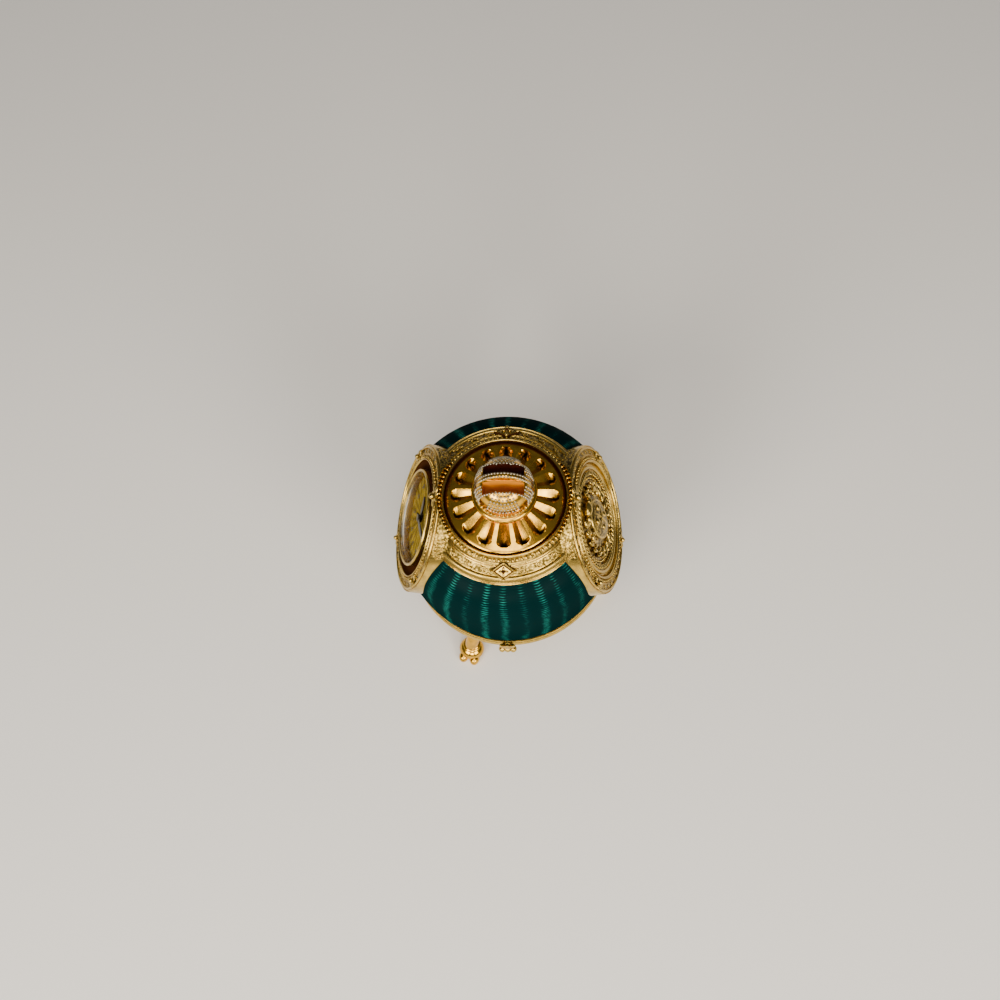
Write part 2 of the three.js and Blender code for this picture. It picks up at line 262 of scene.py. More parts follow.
def material(name, colour, roughness, metallic=0.0, **constants):
    """A material with plain shader values; returns it with its graph and shader."""
    made = bpy.data.materials.new(name)
    made.use_nodes = True
    shader = made.node_tree.nodes["Principled BSDF"]
    shader.inputs["Base Color"].default_value = (*colour, 1.0)
    shader.inputs["Roughness"].default_value = roughness
    shader.inputs["Metallic"].default_value = metallic
    for key, value in constants.items():
        shader.inputs[key.replace("_", " ")].default_value = value
    return made, Graph(made.node_tree), shader


def gilt_finish(name, colour, shade, roughness, grain=420.0, chased=0.0, shaded_hollows=False):
    """Polished gold; where asked, a chased ground, and where asked, painted shade in the flutes' deep outer
    ends, mixed in by the piece's UV map.
    """
    made, graph, shader = material(name, colour, roughness, 1.0)
    where = graph.node("ShaderNodeTexCoord").outputs
    tone = graph.noise(where["Object"], Scale=grain, Detail=3.0)
    if chased:
        cells = graph.node("ShaderNodeTexVoronoi", {"feature": "F1"}, {
            "Vector": where["Object"], "Scale": chased})
        tone = tone * 0.45 + graph.num(cells.outputs["Distance"]) * 0.75
        graph.fill(shader, {"Normal": graph.bump(0.35, tone)})
    tint = graph.ramp(tone, [(0.3, colour), (0.75, shade)])
    # Painted shade: the UV mask darkens the flutes' deep outer ends, standing in for the shadow there.
    if shaded_hollows:
        deep, _, _ = graph.split(where["UV"])
        dark = (*shaded(shade, 0.12), 1.0)
        mixed = graph.node("ShaderNodeMixRGB", None, {"Fac": deep, "Color1": tint, "Color2": dark})
        tint = mixed.outputs[0]
    graph.fill(shader, {"Base Color": tint, "Roughness": tone * 0.18 + (roughness - 0.08)})
    return made


def enamel_finish(looks):
    """Translucent enamel over engine-turned metal: painted highlights, short bright lines stacked in upright
    columns where the engraved waves would catch the light.
    """
    made, graph, shader = material(
        "guilloche enamel", looks.enamel, 0.4, 0.0, Specular_IOR_Level=0.0, Coat_Roughness=0.32)
    where = graph.node("ShaderNodeTexCoord").outputs
    x, y, z = graph.split(where["Object"])
    _, run, _ = graph.split(where["UV"])
    shine = graph.node("ShaderNodeMapRange", None, {
        "Value": z, "From Min": 56 * MM, "From Max": 82 * MM, "To Min": 0.0, "To Max": 0.03}).outputs[0]
    cloud = graph.noise(where["Object"], Scale=45.0)
    fleck = graph.noise(where["Object"], Scale=700.0)
    angle = y.atan2(x)
    wave = (angle * float(looks.enamel_columns) + cloud * 3.0).sin()
    swell = (angle * 13.0 + cloud * 6.0).sin() * 0.25 + 0.72
    lines = (run * (TURN / looks.enamel_pitch) + wave * 1.3).sin() * 0.5 + 0.5
    columns = (wave * 0.5 + 0.5).power(1.8)
    # Painted highlight: the metal's gleam under the enamel is put into the base colour as bright columns.
    glint = lines.power(2.0) * columns * swell * (fleck * 1.5) * (cloud + 0.4)
    stops = [(0.0, shaded(looks.enamel, 0.75)), (0.2, looks.enamel), (0.75, looks.enamel_glint)]
    graph.fill(shader, {
        "Base Color": graph.ramp(glint, stops), "Coat Weight": shine, "Normal": graph.bump(0.2, lines)})
    return made


def dial_finish(looks):
    """Old gilt dial with rays from its middle and mottled patches."""
    made, graph, shader = material("gilt dial", looks.dial, 0.4, 0.0, Specular_IOR_Level=0.0)
    place = graph.node("ShaderNodeTexCoord").outputs["UV"]
    x, y, _ = graph.split(place)
    rays = (y.atan2(x) * 24.0).sin() * 0.5 + 0.5
    tone = rays * 0.25 + graph.noise(place, Scale=4.0, Detail=4.0)
    stops = [(0.3, shaded(looks.dial, 0.45)), (0.6, looks.dial), (0.95, (0.66, 0.45, 0.05))]
    graph.fill(shader, {"Base Color": graph.ramp(tone, stops)})
    return made


FINISHES = {}


def finishes():
    """The clock's materials, made once."""
    if not FINISHES:
        looks = bpy.context.scene.egg_clock_looks
        gold, warm = tuple(looks.gilt), tuple(looks.sunburst)
        deeper = shaded(warm, 0.55)
        FINISHES["gilt"] = gilt_finish("polished gilt", gold, shaded(gold, 0.6), 0.24)
        FINISHES["chased"] = gilt_finish("chased gilt", gold, shaded(gold, 0.12), 0.34, 500.0, 1300.0)
        FINISHES["sunburst"] = gilt_finish("sunburst gilt", warm, deeper, 0.2)
        # The fluted gilt carries painted shade in the flutes' deep outer ends.
        FINISHES["fluted"] = gilt_finish("fluted gilt", warm, deeper, 0.2, shaded_hollows=True)
        # Painted light and painted shadow: lit and shaded copies of the gold inside the crown's gaps, the
        # near gap orange as if lit, the far one dark as if in shadow.
        FINISHES["lining"] = material("crown near lining in painted light", (0.66, 0.23, 0.004), 0.5, Specular_IOR_Level=0.2)[0]
        FINISHES["shadow"] = material("crown far lining in painted shadow", (0.1, 0.016, 0.005), 0.5, Specular_IOR_Level=0.2)[0]
        FINISHES["stones"] = material("pale set stones", (0.44, 0.39, 0.28), 0.18, 0.9)[0]
        # Painted shade: a dark brown for the recesses round the dial and the top ring and under the lozenges,
        # where shadow falls.
        FINISHES["recess"] = material(
            "painted shade recess", (0.055, 0.019, 0.006), 0.5, Specular_IOR_Level=0.0)[0]
        FINISHES["enamel"] = enamel_finish(looks)
        FINISHES["dial"] = dial_finish(looks)
        FINISHES["ink"] = material("dial numerals", (0.02, 0.012, 0.008), 0.5)[0]
        FINISHES["hands"] = material("blackened hands", (0.025, 0.014, 0.008), 0.3, 0.7)[0]
        FINISHES["glass"] = material(
            "crystal", (0.97, 0.98, 0.97), 0.02, 0.0, Transmission_Weight=1.0, IOR=1.02)[0]
    return FINISHES


def painted(*names):
    """A piece's list of materials."""
    return [finishes()[name] for name in names]


# Mesh builder

class Form:
    """Collects turned, drawn and rounded shapes into one mesh, in millimetres."""

    def __init__(self):
        self.verts = []
        self.faces = []
        self.paint = []

    def add(self, verts, faces, place=None, paint=0):
        """Adds points and faces at a place, in one paint or a list of them."""
        base = len(self.verts)
        place = place or Matrix()
        self.verts.extend(place @ Vector(v) for v in verts)
        self.faces.extend(tuple(base + i for i in f) for f in faces)
        self.paint.extend([paint] * len(faces) if isinstance(paint, int) else paint)

    def turned(self, profile, segments, place=None, paints=None, closed=False):
        """A profile of (radius, height) turned about its own Z; paints gives a paint for each step."""
        verts, rings, faces, paint = [], [], [], []
        for r, z in profile:
            if abs(r) < 1e-6:
                rings.append([len(verts)] * segments)
                verts.append((0, 0, z))
            else:
                rings.append(list(range(len(verts), len(verts) + segments)))
                for i in range(segments):
                    a = TURN * i / segments
                    verts.append((r * math.cos(a), r * math.sin(a), z))
        steps = len(profile) if closed else len(profile) - 1
        for k in range(steps):
            low, high = rings[k], rings[(k + 1) % len(rings)]
            for i in range(segments):
                j = (i + 1) % segments
                corner = []
                for index in (low[i], low[j], high[j], high[i]):
                    if index not in corner:
                        corner.append(index)
                if len(corner) > 2:
                    faces.append(tuple(corner))
                    paint.append(paints[k] if paints else 0)
        self.add(verts, faces, place, paint)

    def ball(self, size, at, place=None, around=16, rows=9, turn=0.0, paint=0):
        """A ball with three half-sizes, turned about its own upright."""
        tilts = [math.pi * k / rows for k in range(rows + 1)]
        profile = [(math.sin(a), -math.cos(a)) for a in tilts]
        profile[0] = (0.0, -1.0)
        profile[-1] = (0.0, 1.0)
        own = moved(*at) @ spun(turn) @ Matrix.Diagonal((*size, 1.0))
        self.turned(profile, around, (place or Matrix()) @ own, [paint] * rows)

    def tube(self, points, radii, place=None, around=14, flat=1.0, paint=0):
        """A closed round bar along points, with a radius for each; flat squeezes it across."""
        points = [Vector(p) for p in points]
        verts, faces = [], []
        side = None
        for k, p in enumerate(points):
            ahead = points[min(k + 1, len(points) - 1)] - points[max(k - 1, 0)]
            ahead.normalize()
            if side is None:
                seed = Vector((0, 1, 0)) if abs(ahead.y) < 0.9 else Vector((1, 0, 0))
                side = seed.cross(ahead).normalized()
            side = (side - ahead * side.dot(ahead)).normalized()
            other = ahead.cross(side)
            for i in range(around):
                a = TURN * i / around
                verts.append(p + side * math.cos(a) * radii[k] + other * math.sin(a) * radii[k] * flat)
        for k in range(len(points) - 1):
            near, far = k * around, (k + 1) * around
            for i in range(around):
                j = (i + 1) % around
                faces.append((near + i, near + j, far + j, far + i))
        faces.append(tuple(range(around))[::-1])
        last = (len(points) - 1) * around
        faces.append(tuple(last + i for i in range(around)))
        self.add(verts, faces, place, paint)

    def object(self, name, materials, sharp=35.0):
        """The finished piece in metres, with faces outwards and edges sharp past an angle."""
        mesh = bpy.data.meshes.new(name)
        mesh.from_pydata([tuple(v * MM) for v in self.verts], [], self.faces)
        for finish in materials:
            mesh.materials.append(finish)
        mesh.polygons.foreach_set("material_index", self.paint)
        mesh.polygons.foreach_set("use_smooth", [True] * len(mesh.polygons))
        tidy = bmesh.new()
        tidy.from_mesh(mesh)
        bmesh.ops.recalc_face_normals(tidy, faces=tidy.faces)
        tidy.to_mesh(mesh)
        tidy.free()
        mesh.set_sharp_from_angle(angle=math.radians(sharp))
        made = bpy.data.objects.new(name, mesh)
        bpy.context.scene.collection.objects.link(made)
        return made


def settle(obj, body=CASE, node=None):
    """The piece rides its body and, where it has one, stands for its node."""
    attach(obj, body)
    if node:
        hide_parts(node)
    return obj


def baked(obj, sharp=None):
    """Turns live modifiers into a plain mesh."""
    bpy.context.view_layer.update()
    graph = bpy.context.evaluated_depsgraph_get()
    mesh = bpy.data.meshes.new_from_object(obj.evaluated_get(graph))
    obj.modifiers.clear()
    old = obj.data
    obj.data = mesh
    bpy.data.meshes.remove(old)
    if sharp:
        mesh.set_sharp_from_angle(angle=math.radians(sharp))
    return obj


def cut(obj, cutters, sharp=35.0, crossing=False):
    """Cuts closed shapes out of a piece; crossing is for one whose own parts run through each other."""
    for cutter in cutters:
        step = obj.modifiers.new("cut", "BOOLEAN")
        step.operation = "DIFFERENCE"
        step.solver = "EXACT"
        step.use_self = crossing
        step.object = cutter
    baked(obj, sharp)
    for cutter in cutters:
        bpy.data.objects.remove(cutter)
    return obj


def rod(name, radius, low, high, place=None, segments=96):
    """A plain round cutter."""
    form = Form()
    form.turned([(0, low), (radius, low), (radius, high), (0, high)], segments, place)
    return form.object(name, painted("gilt"))


# Shapes shared by the medallions

def medallion(front):
    """A side medallion's own axes: X to the right of who faces it, Y up its face, Z out of it."""
    out = Vector((0, front * math.cos(SIDE_TILT), math.sin(SIDE_TILT)))
    up = Vector((0, -front * math.sin(SIDE_TILT), math.cos(SIDE_TILT)))
    right = up.cross(out)
    axes = Matrix((right, up, out)).transposed().to_4x4()
    return moved(0, front * SIDE_Y, SIDE_Z) @ axes


DIAL_AXES = medallion(-1)
RELIEF_AXES = medallion(1)
SIDE_CUT = SIDE_OUTER[0] + 0.1


def arc_steps(low, high, height, count=6):
    """A round bead between two shares of the ring's width."""
    middle, half = (low + high) / 2, (high - low) / 2
    return [(middle - half * math.cos(math.pi * k / count), height * math.sin(math.pi * k / count))
            for k in range(count + 1)]


def chased_steps():
    """The chased ring's profile as (share of width, height), from inside outwards."""
    steps = arc_steps(0.0, 0.09, 0.4, 5) + [(0.11, -0.1), (0.28, -0.1)]
    steps += arc_steps(0.3, 0.345, 0.28, 4) + arc_steps(0.365, 0.41, 0.28, 4)
    steps += [(0.43, 0.0), (0.56, 0.12), (0.69, 0.0)] + arc_steps(0.71, 0.87, 0.72, 8)
    steps += [(0.885, -0.05), (0.96, -0.1)] + arc_steps(0.965, 1.0, 0.2, 3)
    return steps


def along_ring(inner, outer, share, height):
    """The spot at a share of a ring's width and a height above its slope."""
    width = Vector((outer[0] - inner[0], outer[1] - inner[1]))
    rise = Vector((-width.y, width.x)).normalized()
    spot = Vector(inner) + width * share + rise * height
    return (spot.x, spot.y)


def ring_profile(inner, outer):
    """The chased ring's profile between two corners."""
    return [along_ring(inner, outer, share, height) for share, height in chased_steps()]


def ring_paints(count, before):
    """Chased ground on the bead channel and the scroll band, the recess paint (painted shade) before the
    ring, gilt elsewhere.
    """
    shares = [share for share, _ in chased_steps()]
    ring = []
    for low, high in zip(shares, shares[1:]):
        middle = (low + high) / 2
        ring.append(CHASED if 0.1 < middle < 0.29 or 0.42 < middle < 0.7 else GILT)
    return [RECESS] * before + ring + [GILT] * (count - before - len(ring))


def rosette(form, place):
    """Lozenge flower: petals round a cup, with a standing bead."""
    petals = 8
    for k in range(petals):
        a = TURN * k / petals
        reach = 1.35 / math.sqrt((math.cos(a) / 1.4) ** 2 + math.sin(a) ** 2)
        form.ball((reach * 0.75, 0.62, 0.5), (reach, 0, 0.35), place @ spun(a), 12, 7)
    form.turned([(0, 0.2), (1.25, 0.3), (1.35, 0.75), (1.05, 1.05), (0.8, 0.8), (0, 0.7)], 20, place)
    form.ball((0.78, 0.78, 1.0), (0, 0, 1.2), place, 14, 9)


def diamond(form, place, along, across, low, high, paint):
    """A flat four-cornered plate."""
    corners = [(along, 0), (0, across), (-along, 0), (0, -across)]
    verts = [(x, y, high) for x, y in corners] + [(x, y, low) for x, y in corners]
    sides = [(k, (k + 1) % 4, 4 + (k + 1) % 4, 4 + k)[::-1] for k in range(4)]
    form.add(verts, [(0, 1, 2, 3), (7, 6, 5, 4)] + sides, place, paint)


def lozenge(form, place):
    """A diamond frame on a ground of painted shade, with corner beads and a small flower."""
    # Painted shade: the larger dark plate shows as a shaded outline round the gilt field.
    diamond(form, place, along=3.3, across=4.1, low=-0.6, high=0.25, paint=RECESS)
    diamond(form, place, along=1.9, across=2.4, low=0.0, high=0.45, paint=GILT)
    corners = [(2.8, 0), (0, 3.5), (-2.8, 0), (0, -3.5)]
    for k in range(4):
        (x0, y0), (x1, y1) = corners[k], corners[(k + 1) % 4]
        form.tube([(x0, y0, 0.3), (x1, y1, 0.3)], [0.34, 0.34], place, 10)
        form.ball((0.6, 0.6, 0.6), (x0, y0, 0.4), place, 12, 8)
        form.ball((0.7, 0.42, 0.5), (0.95, 0, 0.5), place @ spun(TURN * k / 4), 12, 7)
    # The flower's centre takes the same dark recess paint.
    form.ball((0.6, 0.6, 0.8), (0, 0, 0.6), place, 14, 9, paint=RECESS)


# Geometry Nodes trees

def new_tree(name, inputs):
    """An empty geometry tree with a geometry input, the named inputs and a geometry output."""
    tree = bpy.data.node_groups.new(name, "GeometryNodeTree")
    tree.interface.new_socket("Geometry", in_out="INPUT", socket_type="NodeSocketGeometry")
    for label, kind in inputs:
        tree.interface.new_socket(label, in_out="INPUT", socket_type="NodeSocket" + kind)
    tree.interface.new_socket("Geometry", in_out="OUTPUT", socket_type="NodeSocketGeometry")
    graph = Graph(tree)
    return tree, graph, graph.node("NodeGroupInput")


def close_tree(graph, geometry, finish):
    """Makes instances real, smooth and painted, and gives them out."""
    real = graph.node("GeometryNodeRealizeInstances", None, {"Geometry": geometry}).outputs[0]
    soft = graph.node("GeometryNodeSetShadeSmooth", None, {"Geometry": real}).outputs[0]
    coated = graph.node("GeometryNodeSetMaterial", None, {"Geometry": soft, "Material": finish}).outputs[0]
    graph.node("NodeGroupOutput", None, {0: coated})


TREES = {}
WHOLE = (-1000.0, 1000.0)
RING_INPUTS = [
    ("Count", "Int"), ("Radius", "Float"), ("Height", "Float"), ("Size", "Vector"), ("Lean", "Float"),
    ("Twist", "Float"), ("Low", "Float"), ("High", "Float"), ("Finish", "Material")]


def turn_about(graph, axis, angle):
    """A rotation about one axis."""
    angles = graph.node("ShaderNodeCombineXYZ", None, {axis: angle}).outputs[0]
    return graph.node("FunctionNodeEulerToRotation", None, {0: angles}).outputs[0]


def then_turn(graph, first, second):
    """A rotation followed by another in its own axes."""
    return graph.node("FunctionNodeRotateRotation", {"rotation_space": "LOCAL"},
                      {"Rotation": first, "Rotate By": second}).outputs[0]


def ring_points(graph, given):
    """Points round a circle, kept between a low and a high Y, with a turn that faces outwards."""
    out = given.outputs
    circle = graph.node("GeometryNodeMeshCircle", None, {
        "Vertices": out["Count"], "Radius": out["Radius"]}).outputs[0]
    x, y, _ = graph.split(graph.node("GeometryNodeInputPosition").outputs[0])
    beyond = (y > graph.num(out["High"])) + (graph.num(out["Low"]) > y)
    kept = graph.node("GeometryNodeDeleteGeometry", {"domain": "POINT"}, {
        "Geometry": circle, "Selection": beyond}).outputs[0]
    raised = graph.node("ShaderNodeCombineXYZ", None, {"Z": out["Height"]}).outputs[0]
    lifted = graph.node("GeometryNodeSetPosition", None, {"Geometry": kept, "Offset": raised}).outputs[0]
    leaning = then_turn(graph, turn_about(graph, "Z", y.atan2(x)), turn_about(graph, "Y", out["Lean"]))
    return lifted, then_turn(graph, leaning, turn_about(graph, "Z", out["Twist"]))


def set_round(graph, given, shape):
    """Sizes a shape, sets it on the points of the ring and closes the tree."""
    points, turn = ring_points(graph, given)
    sized = graph.node("GeometryNodeTransform", None, {
        "Geometry": shape, "Scale": given.outputs["Size"]}).outputs[0]
    laid = graph.node("GeometryNodeInstanceOnPoints", None, {
        "Points": points, "Instance": sized, "Rotation": turn}).outputs[0]
    close_tree(graph, laid, given.outputs["Finish"])


def small_ball(graph, segments, rings, radius=1.0):
    """A ball of few faces, to be repeated."""
    return graph.node("GeometryNodeMeshUVSphere", None, {
        "Segments": segments, "Rings": rings, "Radius": radius}).outputs[0]


def grain_tree():
    """Round or long grains set round a circle: beads, rope strands and minute marks."""
    tree, graph, given = new_tree("ring of grains", RING_INPUTS)
    set_round(graph, given, small_ball(graph, 10, 6))
    return tree


def scroll_tree():
    """A running scroll: a spiral wire with two leaves, set round a circle."""
    tree, graph, given = new_tree("running scroll", RING_INPUTS)
    spiral = graph.node("GeometryNodeCurveSpiral", None, {
        "Resolution": 10, "Rotations": 1.45, "Start Radius": 0.18, "End Radius": 1.0,
        "Height": 0.0}).outputs[0]
    section = graph.node("GeometryNodeCurvePrimitiveCircle", None, {
        "Resolution": 6, "Radius": 0.21}).outputs[0]
    wire = graph.node("GeometryNodeCurveToMesh", None, {
        "Curve": spiral, "Profile Curve": section, "Fill Caps": True}).outputs[0]
    ball = small_ball(graph, 8, 5)
    both = graph.node("GeometryNodeJoinGeometry")
    for side in (-1, 1):
        leaf = graph.node("GeometryNodeTransform", None, {
            "Geometry": ball, "Translation": (side * 0.75, side * 1.15, 0.0), "Rotation": (0.0, 0.0, 0.8),
            "Scale": (0.62, 0.22, 0.3)}).outputs[0]
        graph.fill(both, {0: leaf})
    graph.fill(both, {0: wire})
    set_round(graph, given, both.outputs[0])
    return tree


def string_tree():
    """Beads strung evenly along the lines of a mesh."""
    tree, graph, given = new_tree(
        "bead string", [("Pitch", "Float"), ("Bead", "Float"), ("Finish", "Material")])
    line = graph.node("GeometryNodeMeshToCurve", None, {"Mesh": given.outputs["Geometry"]}).outputs[0]
    even = graph.node("GeometryNodeResampleCurve", {"mode": "LENGTH"}, {
        "Curve": line, "Length": given.outputs["Pitch"]}).outputs[0]
    bead = small_ball(graph, 10, 6, given.outputs["Bead"])
    laid = graph.node("GeometryNodeInstanceOnPoints", None, {"Points": even, "Instance": bead}).outputs[0]
    close_tree(graph, laid, given.outputs["Finish"])
    return tree


def grown(name, tree_maker, inputs, place=None, mesh=None):
    """Runs a tree, drawn in millimetres, and puts its result in place as a plain mesh in metres."""
    tree = TREES.get(tree_maker.__name__) or TREES.setdefault(tree_maker.__name__, tree_maker())
    holder = bpy.data.objects.new(name, mesh or bpy.data.meshes.new(name))
    bpy.context.scene.collection.objects.link(holder)
    step = holder.modifiers.new("shape", "NODES")
    step.node_group = tree
    sockets = {item.name: item.identifier for item in tree.interface.items_tree if item.in_out == "INPUT"}
    for label, value in inputs.items():
        step[sockets[label]] = value
    baked(holder)
    holder.data.transform(Matrix.Scale(MM, 4) @ (place or Matrix()))
    if not holder.data.polygons:
        raise RuntimeError(name + " has no faces")
    return holder


def ring_set(name, maker, count, radius, height, size, place=None, lean=0.0, twist=0.0, kept=WHOLE,
             finish="gilt"):
    """Grains or scrolls set round a circle, as a piece of their own."""
    made = grown(name, maker, {
        "Count": count, "Radius": radius, "Height": height, "Size": size, "Lean": lean, "Twist": twist,
        "Low": kept[0], "High": kept[1], "Finish": finishes()[finish]}, place)
    return settle(made)


def bead_string(name, lines, pitch, bead, finish):
    """Beads strung along lines of points, as a piece of their own."""
    verts, edges = [], []
    for line in lines:
        base = len(verts)
        verts.extend(line)
        edges.extend((base + k, base + k + 1) for k in range(len(line) - 1))
    mesh = bpy.data.meshes.new(name)
    mesh.from_pydata([tuple(v) for v in verts], edges, [])
    made = grown(name, string_tree, {"Pitch": pitch, "Bead": bead, "Finish": finishes()[finish]}, None, mesh)
    return settle(made)


def dress_ring(name, inner, outer, beads, scrolls, place=None, kept=WHOLE):
    """The bead row and the running scroll of a chased ring."""
    lean = math.atan2(inner[1] - outer[1], outer[0] - inner[0])
    width = math.dist(inner, outer)
    radius, height = along_ring(inner, outer, 0.195, 0.05)
    ring_set(name + "_beads", grain_tree, beads, radius, height, (width * 0.08, 0.56, 0.5), place, lean)
    radius, height = along_ring(inner, outer, 0.56, 0.2)
    size = width * 0.115
    ring_set(name + "_scroll", scroll_tree, scrolls, radius, height, (size, size, size * 0.8), place, lean,
             kept=kept)


# Settings

class EggClockLooks(bpy.types.PropertyGroup):
    """Colours and engraving of the clock."""

    gilt: bpy.props.FloatVectorProperty(
        name="Gilt", description="Gold of the band and the frames", subtype="COLOR", size=3,
        default=(0.68, 0.46, 0.1), min=0, max=1)
    sunburst: bpy.props.FloatVectorProperty(
        name="Sunburst", description="Warmer gold of the fluted plate, the crown and the stand",
        subtype="COLOR", size=3, default=(0.9, 0.5, 0.055), min=0, max=1)
    enamel: bpy.props.FloatVectorProperty(
        name="Enamel", description="Body colour of the enamel", subtype="COLOR", size=3,
        default=(0.0006, 0.018, 0.019), min=0, max=1)
    # The glint colour is a painted highlight on the engraved lines' crests.
    enamel_glint: bpy.props.FloatVectorProperty(
        name="Enamel glint", description="Colour of the engraved lines' crests", subtype="COLOR", size=3,
        default=(0.015, 0.28, 0.22), min=0, max=1)
    enamel_pitch: bpy.props.FloatProperty(
        name="Line pitch", description="Height between engraved lines", default=0.9 * MM, min=0.2 * MM,
        unit="LENGTH")
    enamel_columns: bpy.props.IntProperty(
        name="Waves", description="Waves of each engraved line round the egg", default=34, min=4)
    dial: bpy.props.FloatVectorProperty(
        name="Dial", description="Colour of the dial", subtype="COLOR", size=3, default=(0.27, 0.175, 0.02),
        min=0, max=1)


class EggClockStage(bpy.types.PropertyGroup):
    """Camera and light."""

    distance: bpy.props.FloatProperty(
        name="Distance", description="Camera distance from the girdle band's centre", default=0.4258,
        unit="LENGTH")
    azimuth: bpy.props.FloatProperty(
        name="Azimuth", description="Camera direction, 0 facing the dial", default=math.radians(96.86),
        subtype="ANGLE")
    elevation: bpy.props.FloatProperty(
        name="Elevation", description="Camera height angle", default=math.radians(68.4), subtype="ANGLE")
    roll: bpy.props.FloatProperty(
        name="Roll", description="Camera turn about its view", default=math.radians(-5.89), subtype="ANGLE")
    lens: bpy.props.FloatProperty(name="Lens", description="Focal length in millimetres", default=43.2)
    aim: bpy.props.FloatVectorProperty(
        name="Aim", description="Where the band's centre falls, in shares of the frame from its middle",
        size=2, default=(0.009682, -0.048757))
    key_power: bpy.props.FloatProperty(
        name="Key light", description="Power of the key light", default=5.0, unit="POWER")
    fill_power: bpy.props.FloatProperty(
        name="Fill light", description="Power of the fill light", default=4.0, unit="POWER")
    front_power: bpy.props.FloatProperty(
        name="Front light", description="Power of the light behind the camera", default=3.2, unit="POWER")
    top_power: bpy.props.FloatProperty(
        name="Top light", description="Power of the light overhead", default=3.2, unit="POWER")
    sky: bpy.props.FloatProperty(
        name="Room light", description="Strength of the even room light", default=0.12)


# Egg

def egg_radius(z):
    """The egg's radius at a height: fuller above its widest line, an oval below."""
    above = z > EGG_CENTRE_Z
    share = abs(z - EGG_CENTRE_Z) / (EGG_TOP_RISE if above else EGG_LOW_FALL)
    power = EGG_SHOULDER if above else 2.0
    return EGG_RADIUS * max(0.0, 1 - share ** power) ** (1 / power)


def lower_curve(t):
    """The egg below its band, from the band at 0 to the bottom at 1."""
    start = Vector((egg_radius(BAND_Z), BAND_Z))
    first = start - Vector(EGG_LOW_DRAW)
    second = Vector((EGG_LOW_FLAT, EGG_BOTTOM_Z))
    end = Vector((0.0, EGG_BOTTOM_Z))
    u = 1 - t
    return start * u ** 3 + first * (3 * u * u * t) + second * (3 * u * t * t) + end * t ** 3


def lay_run(obj, profile):
    """Stores the run along a rising profile, in metres, as the upright of a UV map."""
    heights, runs = [profile[0][1]], [0.0]
    for a, b in zip(profile, profile[1:]):
        heights.append(b[1])
        runs.append(runs[-1] + math.dist(a, b))
    layer = obj.data.uv_layers.new(name="run")
    for loop in obj.data.loops:
        z = obj.data.vertices[loop.vertex_index].co.z / MM
        k = min(max(bisect.bisect(heights, z), 1), len(heights) - 1)
        share = (z - heights[k - 1]) / max(1e-6, heights[k] - heights[k - 1])
        layer.data[loop.index].uv = (0.0, (runs[k - 1] + share * (runs[k] - runs[k - 1])) * MM)


class EGGCLOCK_OT_egg(bpy.types.Operator):
    """Builds the enamelled egg"""

    bl_idname = "eggclock.egg"
    bl_label = "Egg"

    def execute(self, context):
        below, above = 40, 60
        profile = [tuple(lower_curve(1 - k / below)) for k in range(below)]
        profile[0] = (0.0, EGG_BOTTOM_Z)
        top = TOP_FOOT[1] - 0.1
        heights = [BAND_Z + (top - BAND_Z) * k / above for k in range(above + 1)]
        profile += [(egg_radius(z), z) for z in heights]
        rising = list(profile)
        seat_r, seat_z = TOP_FOOT[0] - 1.0, TOP_BASE_Z - 0.3
        profile += [(seat_r, top - 0.4), (seat_r, seat_z), (0.0, seat_z)]
        form = Form()
        form.turned(profile, 240)
        sharp = 50.0
        egg = form.object("enamel_egg", painted("enamel"), sharp)
        pockets = [rod("pocket", SIDE_CUT, SIDE_BACK, SIDE_DEPTH, axes) for axes in (DIAL_AXES, RELIEF_AXES)]
        cut(egg, pockets, sharp)
        lay_run(egg, rising)
        settle(egg, node="egg_body")
        return {"FINISHED"}


class EGGCLOCK_OT_band(bpy.types.Operator):
    """Builds the girdle band with its four sprigs"""

    bl_idname = "eggclock.band"
    bl_label = "Girdle band"

    def execute(self, context):
        half_height = 1.3
        low, high = BAND_Z - half_height, BAND_Z + half_height
        outer = BAND_RADIUS
        shelf = egg_radius(high) + 0.35
        profile = [(egg_radius(low) - 1.0, low), (outer - 0.6, low), (outer - 0.15, BAND_Z - 1.0),
                   (outer, BAND_Z - 0.5), (outer - 0.05, BAND_Z + 0.1)]
        ribs = 2
        run, fall = (outer - 0.2 - shelf) / ribs, (high - BAND_Z - 0.3) / ribs
        for k in range(ribs):
            r, z = outer - 0.2 - run * k, BAND_Z + 0.3 + fall * k
            profile += [(r, z), (r - run * 0.45, z + fall * 0.75), (r - run * 0.9, z + fall * 0.8)]
        profile += [(shelf, high), (egg_radius(high) - 1.2, high)]
        form = Form()
        form.turned(profile, 200, closed=True)
        sprigs = 4
        lean = 0.32
        for k in range(sprigs):
            place = spun(TURN * k / sprigs) @ moved(outer - 0.6, 0, BAND_Z) @ spun(lean, "Y")
            form.ball((1.9, 2.9, 2.4), (0.2, 0, -1.2), place)
            for y, z, r in ((-1.9, -3.0, 1.25), (1.9, -3.0, 1.25), (0.0, -3.8, 1.3)):
                form.ball((r, r, r), (2.1, y, z), place)
            for y, turn in ((-1.3, 0.5), (0.0, 0.0), (1.3, -0.5)):
                own = place @ moved(0.7, y * 0.7, 0.6) @ spun(turn, "X")
                form.ball((0.7, 0.75, 2.0), (0, 0, 1.4), own)
        band = form.object("band_with_sprigs", painted("gilt"))
        settle(band, node="girdle_band")
        return {"FINISHED"}


# Top medallion

